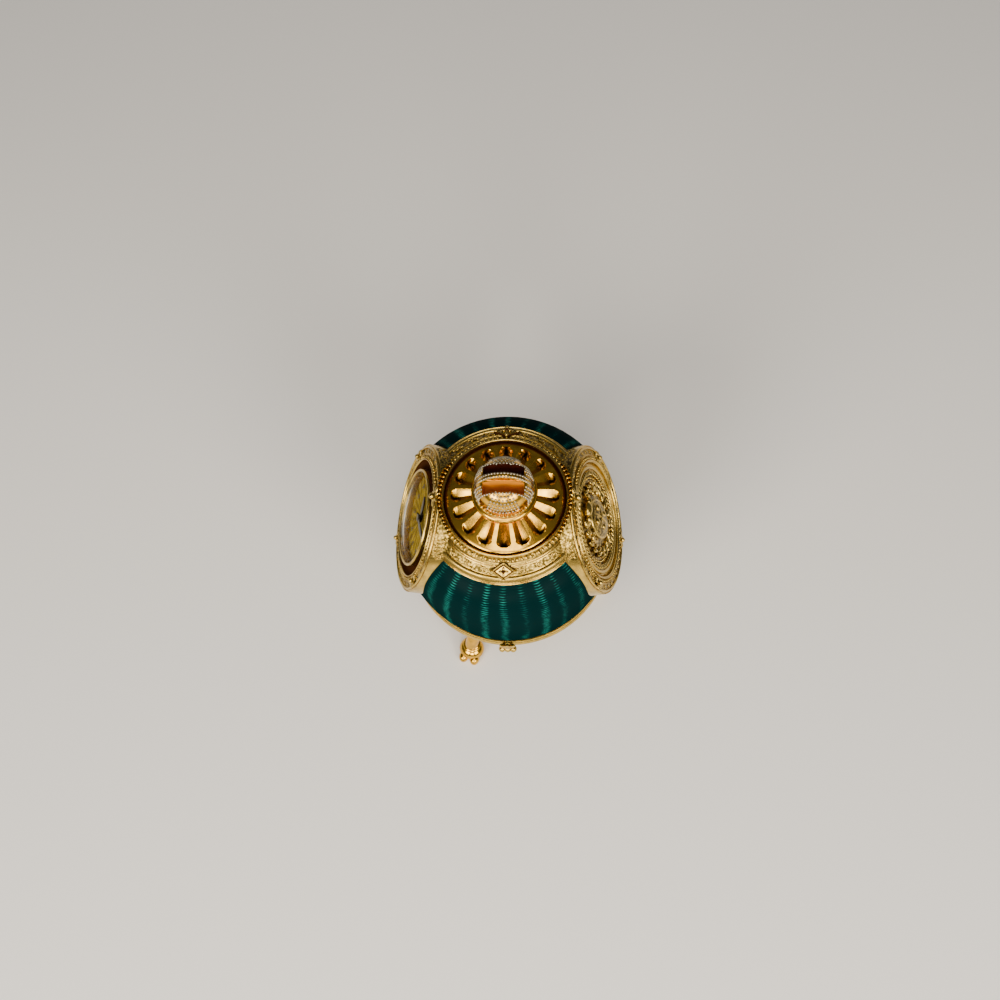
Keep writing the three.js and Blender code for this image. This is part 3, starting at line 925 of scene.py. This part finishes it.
class EGGCLOCK_OT_top_frame(bpy.types.Operator):
    """Builds the chased frame round the sunburst"""

    bl_idname = "eggclock.top_frame"
    bl_label = "Top frame"

    def execute(self, context):
        ring = ring_profile(TOP_INNER, TOP_FOOT)
        profile = [(0, TOP_SEAT_Z), (TOP_INNER[0] + 0.05, TOP_SEAT_Z)] + ring
        profile += [(TOP_FOOT[0], TOP_BASE_Z), (0, TOP_BASE_Z)]
        form = Form()
        form.turned(profile, 220, None, ring_paints(len(profile) - 1, 2))
        top = form.object("top_ring", painted(*RING_PAINTS))
        cutters = []
        for axes in (DIAL_AXES, RELIEF_AXES):
            cutter = rod("side_drum", SIDE_CUT, SIDE_BACK, SIDE_DEPTH, axes)
            cutters.append(cut(cutter, [rod("well", WELL_RADIUS - 0.1, *WELL_REACH)]))
        cut(top, cutters)
        settle(top, node="top_frame")
        flowers = Form()
        slope = math.atan2(TOP_INNER[1] - TOP_FOOT[1], TOP_FOOT[0] - TOP_INNER[0])
        seat_r, seat_z = along_ring(TOP_INNER, TOP_FOOT, 0.5, 0.1)
        for turn in (0.0, math.pi):
            place = spun(turn) @ moved(seat_r, 0, seat_z) @ spun(slope, "Y")
            lozenge(flowers, place @ moved(0, 0, 0.45))
        settle(flowers.object("top_rosettes", painted(*RING_PAINTS)))
        scroll_reach = 17.0
        dress_ring(
            "top_ring", TOP_INNER, TOP_FOOT, beads=92, scrolls=26, kept=(-scroll_reach, scroll_reach))
        return {"FINISHED"}


def sunburst_height(r, across):
    """Height of the fluted plate at a radius; across runs from -1 to 1 over one flute."""
    height = SUNBURST_Z - SUNBURST_FALL * r * r
    if FLUTE_START < r < FLUTE_END:
        share = (r - FLUTE_START) / (FLUTE_END - FLUTE_START)
        past_tip = max(0.0, (r - FLUTE_TIP) / (FLUTE_END - FLUTE_TIP))
        round_end = math.sqrt(max(0.0, 1 - past_tip ** 2))
        hollow = max(0.0, 1 - abs(across) / max(0.05, 0.74 * round_end)) ** 0.9
        height -= (1.1 + 1.1 * share) * hollow * round_end
    if r > SUNBURST_RIM:
        height -= 0.5 * ((r - SUNBURST_RIM) / 0.9) ** 2
    return height


class EGGCLOCK_OT_sunburst(bpy.types.Operator):
    """Builds the fluted sunburst plate"""

    bl_idname = "eggclock.sunburst"
    bl_label = "Sunburst"

    def execute(self, context):
        rim = TOP_INNER[0] - 0.3
        per_flute, steps = 24, 56
        around = FLUTES * per_flute
        angles = [TURN * i / around - math.pi / FLUTES for i in range(around)]
        radii = [FLUTE_START + (FLUTE_END - FLUTE_START) * k / steps for k in range(steps + 1)]
        radii += [17.8, SUNBURST_RIM, 18.8, rim]
        verts, faces = [(0, 0, sunburst_height(0, 0))], []
        for r in radii:
            for i, a in enumerate(angles):
                across = (i % per_flute) / per_flute * 2 - 1
                verts.append((r * math.cos(a), r * math.sin(a), sunburst_height(r, across)))
        base = TOP_SEAT_Z + 0.3
        low = len(verts)
        verts += [(rim * math.cos(a), rim * math.sin(a), base) for a in angles]
        verts.append((0, 0, base))
        for i in range(around):
            j = (i + 1) % around
            faces.append((0, 1 + i, 1 + j))
            for k in range(len(radii)):
                a, b = 1 + k * around, 1 + (k + 1) * around
                faces.append((a + i, b + i, b + j, a + j))
            faces.append((len(verts) - 1, low + j, low + i))
        form = Form()
        form.add(verts, faces)
        plate = form.object("sunburst", painted("fluted"), 40.0)
        # Painted shade: this UV mask darkens the deep outer ends of the flutes, where shadow falls.
        deep = plate.data.uv_layers.new(name="deep")
        for loop in plate.data.loops:
            spot = plate.data.vertices[loop.vertex_index].co / MM
            r = math.hypot(spot.x, spot.y)
            sunk = sunburst_height(r, 1.0) - spot.z if spot.z > base + 1 else 0.0
            outer = min(1.0, max(0.0, (r - 13.2) / 2.6))
            deep.data[loop.index].uv = (min(1.0, max(0.0, sunk - 0.25)) * outer, 0.0)
        settle(plate, node="sunburst_plate")
        return {"FINISHED"}


def crown_dome(share):
    """Radius and height of the crown's dome from its foot at 0 to its top at 1."""
    t = share * math.pi / 2
    power = 2 / CROWN_SWELL
    drawn_in = 1 - 0.1 * (1 - share) ** 8
    radius = CROWN_RADIUS * max(0.0, math.cos(t)) ** power * drawn_in
    height = CROWN_Z + CROWN_FOOT + (CROWN_HEIGHT - CROWN_FOOT) * math.sin(t) ** power
    return (0.0 if share >= 1 else radius, height)


def dome_line(x, lift=0.15, count=40):
    """A line over the dome at a constant X."""
    points = []
    for k in range(-count, count + 1):
        share = 1 - abs(k) / count
        radius, z = crown_dome(share)
        if radius > abs(x):
            points.append(Vector((x, math.copysign(math.sqrt(radius * radius - x * x), k), z + lift)))
    return points


class EGGCLOCK_OT_crown(bpy.types.Operator):
    """Builds the crown finial"""

    bl_idname = "eggclock.crown"
    bl_label = "Crown"

    def execute(self, context):
        form = Form()
        foot, steps = CROWN_Z - 1.0, 30
        dome = [(0, foot), (CIRCLET_RADIUS - 0.6, foot)] + [crown_dome(k / steps) for k in range(steps + 1)]
        form.turned(dome, 96)
        crown = form.object("crown_domes", painted("sunburst", "lining", "shadow"))
        cut(crown, [self.slot(side) for side in (-1, 1)])
        self.line_slots(crown)
        settle(crown, node="crown_finial")
        base = Form()
        bead = 1.35
        hoop = arc(CROWN_BASE_RADIUS - bead, CROWN_Z + 0.2, bead, bead, TURN, 16)
        base.turned(hoop[:-1], 96, closed=True)
        circlet = [(-1.0, -0.5), (0.2, 1.3), (0.35, 1.9), (0.1, 2.3), (-1.0, 2.2)]
        base.turned([(CIRCLET_RADIUS + r, CROWN_Z + z) for r, z in circlet], 96, closed=True)
        bends = 40
        arch = []
        for k in range(bends + 1):
            t = math.pi * k / bends
            arch.append((0, -ARCH_REACH * math.cos(t), CROWN_Z + 1.0 + ARCH_RISE * math.sin(t) ** 0.8))
        base.tube(arch, [0.95] * len(arch), None, 14, 0.9)
        settle(base.object("crown_base_and_arch", painted("sunburst")))
        bead_string("crown_beads", self.bead_lines(arch), pitch=1.0, bead=0.4, finish="stones")
        ring_set("crown_circlet", grain_tree, count=44, radius=CIRCLET_RADIUS + 0.2, height=CROWN_Z + 2.75,
                 size=(0.5, 0.55, 0.5))
        return {"FINISHED"}

    @staticmethod
    def slot(side):
        """A cutter for the gap between a half-dome and the arch."""
        middle = sum(CROWN_SLOT) / 2
        squeeze = (CROWN_SLOT[1] - CROWN_SLOT[0]) / math.sqrt(2)
        box = Matrix.Diagonal((squeeze, SLOT_REACH * math.sqrt(2), 1, 1)) @ spun(TURN / 8)
        return rod("slot", 1, CROWN_Z + SLOT_FLOOR, CROWN_Z + 30, moved(side * middle, 0, 0) @ box, 4)

    @staticmethod
    def line_slots(crown):
        """Paints the walls and floors of the gaps: the near one in painted light, the far one in painted
        shadow.
        """
        margin = 0.05
        for face in crown.data.polygons:
            x, y, z = face.center / MM
            inside = CROWN_SLOT[0] - margin < abs(x) < CROWN_SLOT[1] + margin
            upright = max(abs(face.normal.x), abs(face.normal.y)) > 0.98
            walled = upright and abs(y) < SLOT_REACH + margin
            lined = inside and (walled or z < CROWN_Z + SLOT_FLOOR + 0.1)
            # Near gap: painted-light lining; far gap: painted-shadow lining.
            face.material_index = (1 if x > 0 else 2) if lined else 0

    @staticmethod
    def bead_lines(arch):
        """Lines of beads along the arch, over the half-domes' edges and across their faces."""
        lines = []
        for x in (-0.55, 0.55):
            lines.append([Vector((x, y * 1.04, z + 0.7)) for _, y, z in arch[3:-3]])
        for side in (-1, 1):
            lines.append(dome_line(side * (CROWN_SLOT[1] - 0.1)))
            for end in (-1, 1):
                for row in range(3):
                    x = side * (CROWN_SLOT[0] + 0.9 + row)
                    rib = [crown_dome(0.02 + 0.06 * k) for k in range(9)]
                    lines.append([Vector((x, end * math.sqrt(r * r - x * x), z)) for r, z in rib
                                  if r * r - x * x > (SLOT_REACH + 0.2) ** 2])
            for row in range(7):
                radius, z = crown_dome(0.2 + row * 0.085)
                spread = 0.56 - row * 0.02
                turns = [spread * (k / 8 - 1) for k in range(17)]
                lines.append([Vector((side * radius * math.cos(a), radius * math.sin(a), z)) for a in turns])
        return lines


# Side medallions

def side_frame(name, node, axes, well_radius, recess_paint):
    """Drum, chased ring, rosettes and dressing of one side medallion."""
    ring = ring_profile(SIDE_INNER, SIDE_OUTER)
    hollow = []
    steps = 8
    width = SIDE_INNER[0] - 0.3 - well_radius
    for k in range(steps + 1):
        a = math.pi / 2 * k / steps
        hollow.append((well_radius + width * math.sin(a), -1.1 - 1.5 * math.cos(a)))
    profile = [(0, SIDE_SEAT), (well_radius, SIDE_SEAT)] + hollow + ring
    profile += [(SIDE_OUTER[0], SIDE_BACK), (0, SIDE_BACK)]
    paints = ring_paints(len(profile) - 1, 2 + len(hollow))
    # On the dial's side the seat and the hollow take the recess paint, painted shade; the relief's stay gilt.
    paints = [recess_paint if paint == RECESS else paint for paint in paints]
    form = Form()
    form.turned(profile, 200, axes, paints)
    drum = form.object(name, painted(*RING_PAINTS))
    cut(drum, [rod("well", WELL_RADIUS, *WELL_REACH)])
    local = (Matrix.Scale(MM, 4) @ axes).inverted()
    for face in drum.data.polygons:
        spot = local @ face.center
        if spot.y > MITRE_REACH and math.hypot(spot.x, spot.y) > SIDE_OUTER[0] - 0.1:
            face.material_index = CHASED
    settle(drum, node=node)
    flowers = Form()
    middle_r, middle_z = along_ring(SIDE_INNER, SIDE_OUTER, 0.48, 0.1)
    for k in range(4):
        reach = JUNCTION_REACH if k == 0 else middle_r
        place = axes @ spun(TURN * k / 4) @ moved(0, reach, middle_z)
        size = (1.3, 1.3, 1.1, 1.0) if k == 0 else (1.0, 1.0, 0.85, 1.0)
        rosette(flowers, place @ Matrix.Diagonal(size))
    settle(flowers.object(name + "_rosettes", painted("gilt")))
    dress_ring(name, SIDE_INNER, SIDE_OUTER, beads=92, scrolls=40, place=axes, kept=(WHOLE[0], 21.9))
    wall, top = SIDE_OUTER[0] + 0.05, SIDE_OUTER[1]
    kept = (MITRE_REACH + 0.4, JUNCTION_REACH)
    ring_set(name + "_wall_beads", grain_tree, count=120, radius=wall, height=top - 0.9,
             size=(0.3, 0.6, 0.4), place=axes, kept=kept)
    ring_set(name + "_wall_scroll", scroll_tree, count=60, radius=wall, height=top - 2.6,
             size=(0.85, 0.85, 0.7), place=axes, lean=math.pi / 2, kept=kept)


class EGGCLOCK_OT_side_frames(bpy.types.Operator):
    """Builds the chased frames of the dial and the relief"""

    bl_idname = "eggclock.side_frames"
    bl_label = "Side frames"

    def execute(self, context):
        side_frame("dial_ring", "dial_frame", DIAL_AXES, BEZEL_OUTER + 0.1, RECESS)
        side_frame("relief_ring", "relief_frame", RELIEF_AXES, SIDE_INNER[0] - 1.3, GILT)
        return {"FINISHED"}


def hand_form(length, width, tail, low, high, angle, hub):
    """A leaf-shaped hand with a round boss."""
    turn = DIAL_AXES @ spun(-math.radians(angle))
    outline = []
    count = 24
    for k in range(count + 1):
        y = -tail + (length + tail) * k / count
        share = max(0.0, y / length)
        half = width * (0.32 + 0.68 * math.sin(math.pi * share) ** 1.5) if y > 0 else width * 0.42
        outline.append((half if k < count else 0.02, y))
    points = outline + [(-x, y) for x, y in reversed(outline)]
    verts = [(x, y, low) for x, y in points] + [(x, y, high) for x, y in points]
    n = len(points)
    faces = [(i, (i + 1) % n, n + (i + 1) % n, n + i) for i in range(n)]
    half_n = n // 2
    for k in range(half_n - 1):
        faces.append((k + 1, n - 2 - k, n - 1 - k, k))
        faces.append((2 * n - 1 - k, 2 * n - 2 - k, n + k + 1, n + k))
    form = Form()
    form.add(verts, faces, turn)
    form.turned([(0, low), (hub, low), (hub, high), (hub * 0.8, high + 0.1), (0, high + 0.1)], 32, DIAL_AXES)
    return form


class EGGCLOCK_OT_clock(bpy.types.Operator):
    """Builds the bezel, dial, hands and glass"""

    bl_idname = "eggclock.clock"
    bl_label = "Clock"

    def execute(self, context):
        bezel = Form()
        ring = [(GLASS_RADIUS + 0.1, PLATE_BACK), (BEZEL_OUTER, PLATE_BACK), (BEZEL_OUTER, -0.55)]
        ring += arc(BEZEL_OUTER - 0.5, -0.5, 0.5, 0.6, math.pi, 8)
        bezel.turned(ring, 160, DIAL_AXES, closed=True)
        settle(bezel.object("bezel", painted("gilt")), node="dial_bezel")
        dial = Form()
        disc = [(0, PLATE_BACK), (DIAL_RADIUS, PLATE_BACK), (DIAL_RADIUS, DIAL_TOP), (0, DIAL_TOP)]
        dial.turned(disc, 128, DIAL_AXES)
        plate = dial.object("dial", painted("dial"))
        flat = plate.data.uv_layers.new(name="dial")
        local = (Matrix.Scale(MM, 4) @ DIAL_AXES).inverted()
        for loop in plate.data.loops:
            spot = local @ plate.data.vertices[loop.vertex_index].co
            flat.data[loop.index].uv = (spot.x / DIAL_RADIUS, spot.y / DIAL_RADIUS)
        settle(plate, node="dial_plate")
        self.numerals()
        hour = hand_form(
            length=7.4, width=1.0, tail=1.6, low=-2.75, high=-2.35, angle=HOUR_HAND_ANGLE, hub=1.5)
        settle(hour.object("hour_hand_leaf", painted("hands")), "hour", "hour_hand")
        minute = hand_form(
            length=11.6, width=0.8, tail=2.2, low=-2.0, high=-1.6, angle=MINUTE_HAND_ANGLE, hub=1.2)
        settle(minute.object("minute_hand_leaf", painted("hands")), "minute", "minute_hand")
        glass = Form()
        steps = 20
        outer = [(GLASS_RADIUS * k / steps, 2.1 - 2.2 * (k / steps) ** 2) for k in range(steps + 1)]
        inner = [(r, z - 0.9) for r, z in outer]
        glass.turned(inner + outer[::-1], 128, DIAL_AXES)
        settle(glass.object("glass", painted("glass")), node="dial_glass")
        return {"FINISHED"}

    def numerals(self):
        """Plain hour numbers and a minute track."""
        numbers = []
        for hour in range(1, HOURS + 1):
            words = bpy.data.curves.new("hour", "FONT")
            words.body = str(hour)
            words.align_x = "CENTER"
            words.align_y = "CENTER"
            words.size = NUMBER_SIZE
            words.extrude = 0.03
            holder = bpy.data.objects.new("hour", words)
            bpy.context.scene.collection.objects.link(holder)
            bpy.context.view_layer.update()
            graph = bpy.context.evaluated_depsgraph_get()
            mesh = bpy.data.meshes.new_from_object(holder.evaluated_get(graph))
            bpy.data.objects.remove(holder)
            a = TURN * hour / HOURS
            place = moved(NUMBER_RADIUS * math.sin(a), NUMBER_RADIUS * math.cos(a), DIAL_TOP + 0.05)
            mesh.transform(Matrix.Scale(MM, 4) @ DIAL_AXES @ place)
            numbers.append(mesh)
        whole = bmesh.new()
        for mesh in numbers:
            whole.from_mesh(mesh)
            bpy.data.meshes.remove(mesh)
        joined = bpy.data.meshes.new("hour_numbers")
        whole.to_mesh(joined)
        whole.free()
        joined.materials.append(finishes()["ink"])
        made = bpy.data.objects.new("hour_numbers", joined)
        bpy.context.scene.collection.objects.link(made)
        settle(made)
        ring_set("minute_track", grain_tree, MINUTES, TRACK_RADIUS, DIAL_TOP + 0.02, (0.45, 0.1, 0.04),
                 DIAL_AXES, finish="ink")


class EGGCLOCK_OT_relief(bpy.types.Operator):
    """Builds the relief with its rope border, shield and wreath"""

    bl_idname = "eggclock.relief"
    bl_label = "Relief"

    def execute(self, context):
        rim = SIDE_INNER[0] - 1.4
        form = Form()
        border = [(0, PLATE_BACK), (rim, PLATE_BACK), (rim, -1.9)]
        border += arc(rim - 0.6, -1.9, 0.6, 0.6, math.pi, 8)
        ground = [(14.4, -2.5), (13.2, -2.3), (8, -1.5), (0, -1.0)]
        paints = [GILT] * (len(border) - 1) + [CHASED] * len(ground)
        form.turned(border + ground, 160, RELIEF_AXES, paints)
        form.add(*self.shield(), RELIEF_AXES, CHASED)
        count = 48
        edge = []
        for k in range(count):
            a = TURN * k / count
            tall = 7.1 if math.sin(a) > 0 else 8.2
            edge.append((6.0 * math.cos(a), SHIELD_Y + tall * math.sin(a), -0.9))
        form.tube(edge + edge[:1], [0.5] * (count + 1), RELIEF_AXES, 10)
        bends = 12
        swell = [math.sin(math.pi * k / bends) for k in range(bends + 1)]
        upright = [(0, 6.4 - 13.4 * k / bends, -0.5 + 1.1 * rise) for k, rise in enumerate(swell)]
        level = [(-4.8 + 9.6 * k / bends, 1.6, -0.4 + 1.0 * rise) for k, rise in enumerate(swell)]
        for bar in (upright, level):
            form.tube(bar, [0.45] * len(bar), RELIEF_AXES, 10)
        for x, y in ((-2.4, 3.9), (2.4, 3.9), (-2.2, -1.6), (2.2, -1.6)):
            form.ball((1.1, 1.1, 0.8), (x, y, 0.3), RELIEF_AXES)
        form.ball((2.6, 1.7, 1.6), (0, 9.6, -1.0), RELIEF_AXES)
        for x in (-3.0, 3.0):
            form.ball((1.3, 1.0, 1.2), (x, 8.9, -1.0), RELIEF_AXES)
        for side in (-1, 1):
            self.wreath(form, side)
        plaque = form.object("relief", painted("gilt", "chased"))
        settle(plaque, node="relief_plaque")
        ring_set("relief_rope", grain_tree, count=64, radius=15.6, height=-1.95, size=(0.62, 1.35, 0.8),
                 place=RELIEF_AXES, twist=0.62)
        ring_set("relief_inner_beads", grain_tree, count=72, radius=13.9, height=-2.25,
                 size=(0.42, 0.42, 0.42), place=RELIEF_AXES)
        return {"FINISHED"}

    @staticmethod
    def wreath(form, side):
        """Two rows of leaves up one side of the shield, and a scroll beside its shoulder."""
        for k in range(9):
            a = -math.pi / 2 + side * (0.25 + k * 0.3)
            for reach, lean in ((10.2, 0.75), (11.9, 1.15)):
                spot = (reach * math.cos(a), reach * math.sin(a), -1.4)
                form.ball((1.7, 0.72, 0.85), spot, RELIEF_AXES, 12, 7, a + side * lean)
        last = 29
        scroll = []
        for k in range(last + 1):
            t = k / last
            a = side * (0.4 + t * 5.2)
            reach = 2.6 * (1 - 0.75 * t)
            scroll.append((side * 7.4 + reach * math.sin(a) * 0.8, 4.5 - reach * math.cos(a), -0.75))
        form.tube(scroll, [0.55 - 0.25 * k / last for k in range(last + 1)], RELIEF_AXES, 10)

    def shield(self):
        """A swelling shield plate, wide above and pointed below."""
        around, rings = 64, 14
        verts, faces = [], []
        for k in range(rings + 1):
            share = k / rings
            height = 1.9 * math.sqrt(max(0.0, 1 - share ** 2.6))
            for i in range(around):
                a = TURN * i / around
                half = SHIELD_HALF * (1 - 0.22 * max(0.0, -math.sin(a)) ** 2)
                x = half * math.cos(a) * abs(math.cos(a)) ** -0.25 if abs(math.cos(a)) > 1e-4 else 0.0
                y = (SHIELD_ABOVE if math.sin(a) > 0 else SHIELD_BELOW) * math.sin(a)
                verts.append((x * share, SHIELD_Y + y * share, -1.3 + height))
        for k in range(rings):
            a, b = k * around, (k + 1) * around
            for i in range(around):
                j = (i + 1) % around
                faces.append((b + i, b + j, 0) if k == 0 else (a + i, b + i, b + j, a + j))
        edge, low = rings * around, len(verts)
        verts += [(x, y, -2.6) for x, y, _ in verts[edge:]]
        for i in range(around):
            j = (i + 1) % around
            faces.append((edge + i, low + i, low + j, edge + j))
        faces.append(tuple(low + i for i in range(around))[::-1])
        used = sorted({i for face in faces for i in face})
        number = {old: new for new, old in enumerate(used)}
        return [verts[i] for i in used], [tuple(number[i] for i in face) for face in faces]


# Stand

class EGGCLOCK_OT_stand(bpy.types.Operator):
    """Builds the tripod stand"""

    bl_idname = "eggclock.stand"
    bl_label = "Stand"

    def execute(self, context):
        inner = []
        steps = 10
        for k in range(steps + 1):
            r, z = lower_curve(1 - 0.4 * k / steps)
            inner.append((0 if k == 0 else r + 0.35, z - 0.3))
        lip_r, lip_z = inner[-1]
        knop = [(0, 4.6), (1.6, 4.8), (2.5, 5.6), (2.6, 6.6), (1.9, 7.4)]
        bowl = [(4.0, 7.5), (6.5, 8.0), (10.5, 9.8), (14.0, lip_z - 4.2)]
        lip = [(0.0, -2.4), (1.2, -1.6), (1.4, -0.8), (1.0, 0.3)]
        profile = knop + bowl + [(lip_r + r, lip_z + z) for r, z in lip] + inner[::-1]
        form = Form()
        form.turned(profile, 120)
        path = self.smooth(LEG_KNOTS, 8)
        girth = [1.6 + 1.1 * (k / (len(path) - 1)) ** 0.6 for k in range(len(path))]
        for angle in LEG_ANGLES:
            place = spun(math.radians(angle))
            form.tube([(r, 0, z) for r, z in path], girth, place, 18)
            form.ball((3.0, 3.0, 2.4), (21.6, 0, 16.6), place, 24, 14)
            form.ball((3.3, 3.3, 0.85), (29.4, 0, 7.2), place, 24, 10)
            form.ball((3.0, 3.0, 0.6), (28.9, 0, 8.6), place, 24, 10)
            for y, turn in ((-1.1, 0.2), (0.0, 0.0), (1.1, -0.2)):
                spot = moved(20.3, y * 1.2, 16.3 - abs(y) * 0.6)
                form.ball((5.2, 0.9, 1.1), (0, 0, 0), place @ spot @ spun(-0.35, "Y") @ spun(turn), 16, 12)
            self.paw(form, place)
        sharp = 50.0
        stand = form.object("tripod_stand", painted("sunburst"), sharp)
        floor = rod("floor_cut", radius=90, low=-20, high=0.0, segments=8)
        cut(stand, [floor], sharp, crossing=True)
        settle(stand, node="stand")
        ring_set("cup_beads", grain_tree, count=64, radius=lip_r + 1.3, height=lip_z - 0.6,
                 size=(0.7, 0.7, 0.7))
        return {"FINISHED"}

    @staticmethod
    def smooth(knots, steps):
        """A flowing line through a few points."""
        points = [Vector(k) for k in knots]
        ends = [points[0] * 2 - points[1]] + points + [points[-1] * 2 - points[-2]]
        line = []
        for k in range(1, len(ends) - 2):
            a, b, c, d = ends[k - 1:k + 3]
            for s in range(steps):
                t = s / steps
                line.append(0.5 * (2 * b + (c - a) * t + (2 * a - 5 * b + 4 * c - d) * t * t +
                                   (3 * b - a - 3 * c + d) * t ** 3))
        return line + [points[-1]]

    @staticmethod
    def paw(form, place):
        """A rounded foot with two toes."""
        own = place @ moved(FOOT_RADIUS, 0, 0) @ spun(PAW_TURN)
        form.ball((4.4, 4.7, 3.4), (-0.3, 0, 2.9), own, 24, 14)
        for y in (-2.1, 2.1):
            form.ball((2.4, 1.85, 1.95), (3.2, y, 1.75), own, 20, 12)


# Stage

class EGGCLOCK_OT_stage(bpy.types.Operator):
    """Sets the floor, the lights and the camera"""

    bl_idname = "eggclock.stage"
    bl_label = "Stage"

    def execute(self, context):
        scene = context.scene
        stage = scene.egg_clock_stage
        floor_paint = material("pale floor", FLOOR_COLOUR, 0.6)[0]
        half = FLOOR_HALF
        floor = Form()
        floor.add([(-half, -half, 0), (half, -half, 0), (half, half, 0), (-half, half, 0)], [(0, 1, 2, 3)])
        ground = floor.object("floor", [floor_paint])
        world = bpy.data.worlds.new("room")
        world.use_nodes = True
        sky = world.node_tree.nodes["Background"]
        sky.inputs["Color"].default_value = ROOM_COLOUR
        sky.inputs["Strength"].default_value = stage.sky
        scene.world = world
        self.light("key", (0.55, -0.42, 0.5), 0.34, stage.key_power)
        self.light("fill", (0.55, 0.42, 0.46), 0.34, stage.fill_power)
        self.light("front", (0.8, 0.0, 0.5), 0.3, stage.front_power)
        self.light("top", (0.3, 0.0, 0.8), 0.42, stage.top_power)
        self.camera(scene, stage)
        return {"FINISHED"}

    @staticmethod
    def light(name, spot, size, power):
        """A soft square light turned to the middle of the egg."""
        lamp = bpy.data.lights.new(name, "AREA")
        lamp.size = size
        lamp.energy = power
        lamp.color = LIGHT_COLOUR
        holder = bpy.data.objects.new(name, lamp)
        bpy.context.scene.collection.objects.link(holder)
        holder.location = spot
        aim = Vector(LIGHT_AIM) - Vector(spot)
        holder.rotation_euler = aim.to_track_quat("-Z", "Y").to_euler()

    @staticmethod
    def camera(scene, stage):
        """The camera at its angle and distance, moved so that the band's centre falls where it should."""
        az, el, roll = stage.azimuth, stage.elevation, stage.roll
        back = Vector((math.sin(az) * math.cos(el), -math.cos(az) * math.cos(el), math.sin(el)))
        right = (-back).cross(Vector((0, 0, 1))).normalized()
        up = right.cross(-back)
        right_r = right * math.cos(roll) + up * math.sin(roll)
        up_r = up * math.cos(roll) - right * math.sin(roll)
        span = stage.distance * FILM / stage.lens
        spot = Vector((0, 0, BAND_Z * MM)) + back * stage.distance
        spot = spot - right_r * stage.aim[0] * span - up_r * stage.aim[1] * span
        lens = bpy.data.cameras.new("camera")
        lens.lens = stage.lens
        lens.sensor_width = FILM
        lens.clip_start = 0.01
        lens.clip_end = 20.0
        holder = bpy.data.objects.new("camera", lens)
        scene.collection.objects.link(holder)
        turn = Matrix((right_r, up_r, back)).transposed().to_4x4()
        holder.matrix_world = Matrix.Translation(spot) @ turn
        scene.camera = holder


class EGGCLOCK_PT_panel(bpy.types.Panel):
    """Lists the clock's settings and pieces"""

    bl_idname = "EGGCLOCK_PT_panel"
    bl_label = "Egg clock"
    bl_space_type = "VIEW_3D"
    bl_region_type = "UI"
    bl_category = "Egg clock"

    def draw(self, context):
        column = self.layout.column()
        for group in (context.scene.egg_clock_looks, context.scene.egg_clock_stage):
            for key in group.__annotations__:
                column.prop(group, key)
        for operator in OPERATORS:
            column.operator(operator.bl_idname)


OPERATORS = (
    EGGCLOCK_OT_egg,
    EGGCLOCK_OT_band,
    EGGCLOCK_OT_top_frame,
    EGGCLOCK_OT_sunburst,
    EGGCLOCK_OT_crown,
    EGGCLOCK_OT_side_frames,
    EGGCLOCK_OT_clock,
    EGGCLOCK_OT_relief,
    EGGCLOCK_OT_stand,
    EGGCLOCK_OT_stage,
)
CLASSES = (EggClockLooks, EggClockStage, *OPERATORS, EGGCLOCK_PT_panel)


def register():
    """Adds the classes and the scene's settings."""
    for cls in CLASSES:
        bpy.utils.register_class(cls)
    bpy.types.Scene.egg_clock_looks = bpy.props.PointerProperty(type=EggClockLooks)
    bpy.types.Scene.egg_clock_stage = bpy.props.PointerProperty(type=EggClockStage)


def unregister():
    """Takes them out again."""
    del bpy.types.Scene.egg_clock_stage
    del bpy.types.Scene.egg_clock_looks
    for cls in reversed(CLASSES):
        bpy.utils.unregister_class(cls)


def main():
    """Registers the clock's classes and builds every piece."""
    register()
    for operator in OPERATORS:
        group, name = operator.bl_idname.split(".")
        getattr(getattr(bpy.ops, group), name)()


if __name__ == "__main__":
    main()
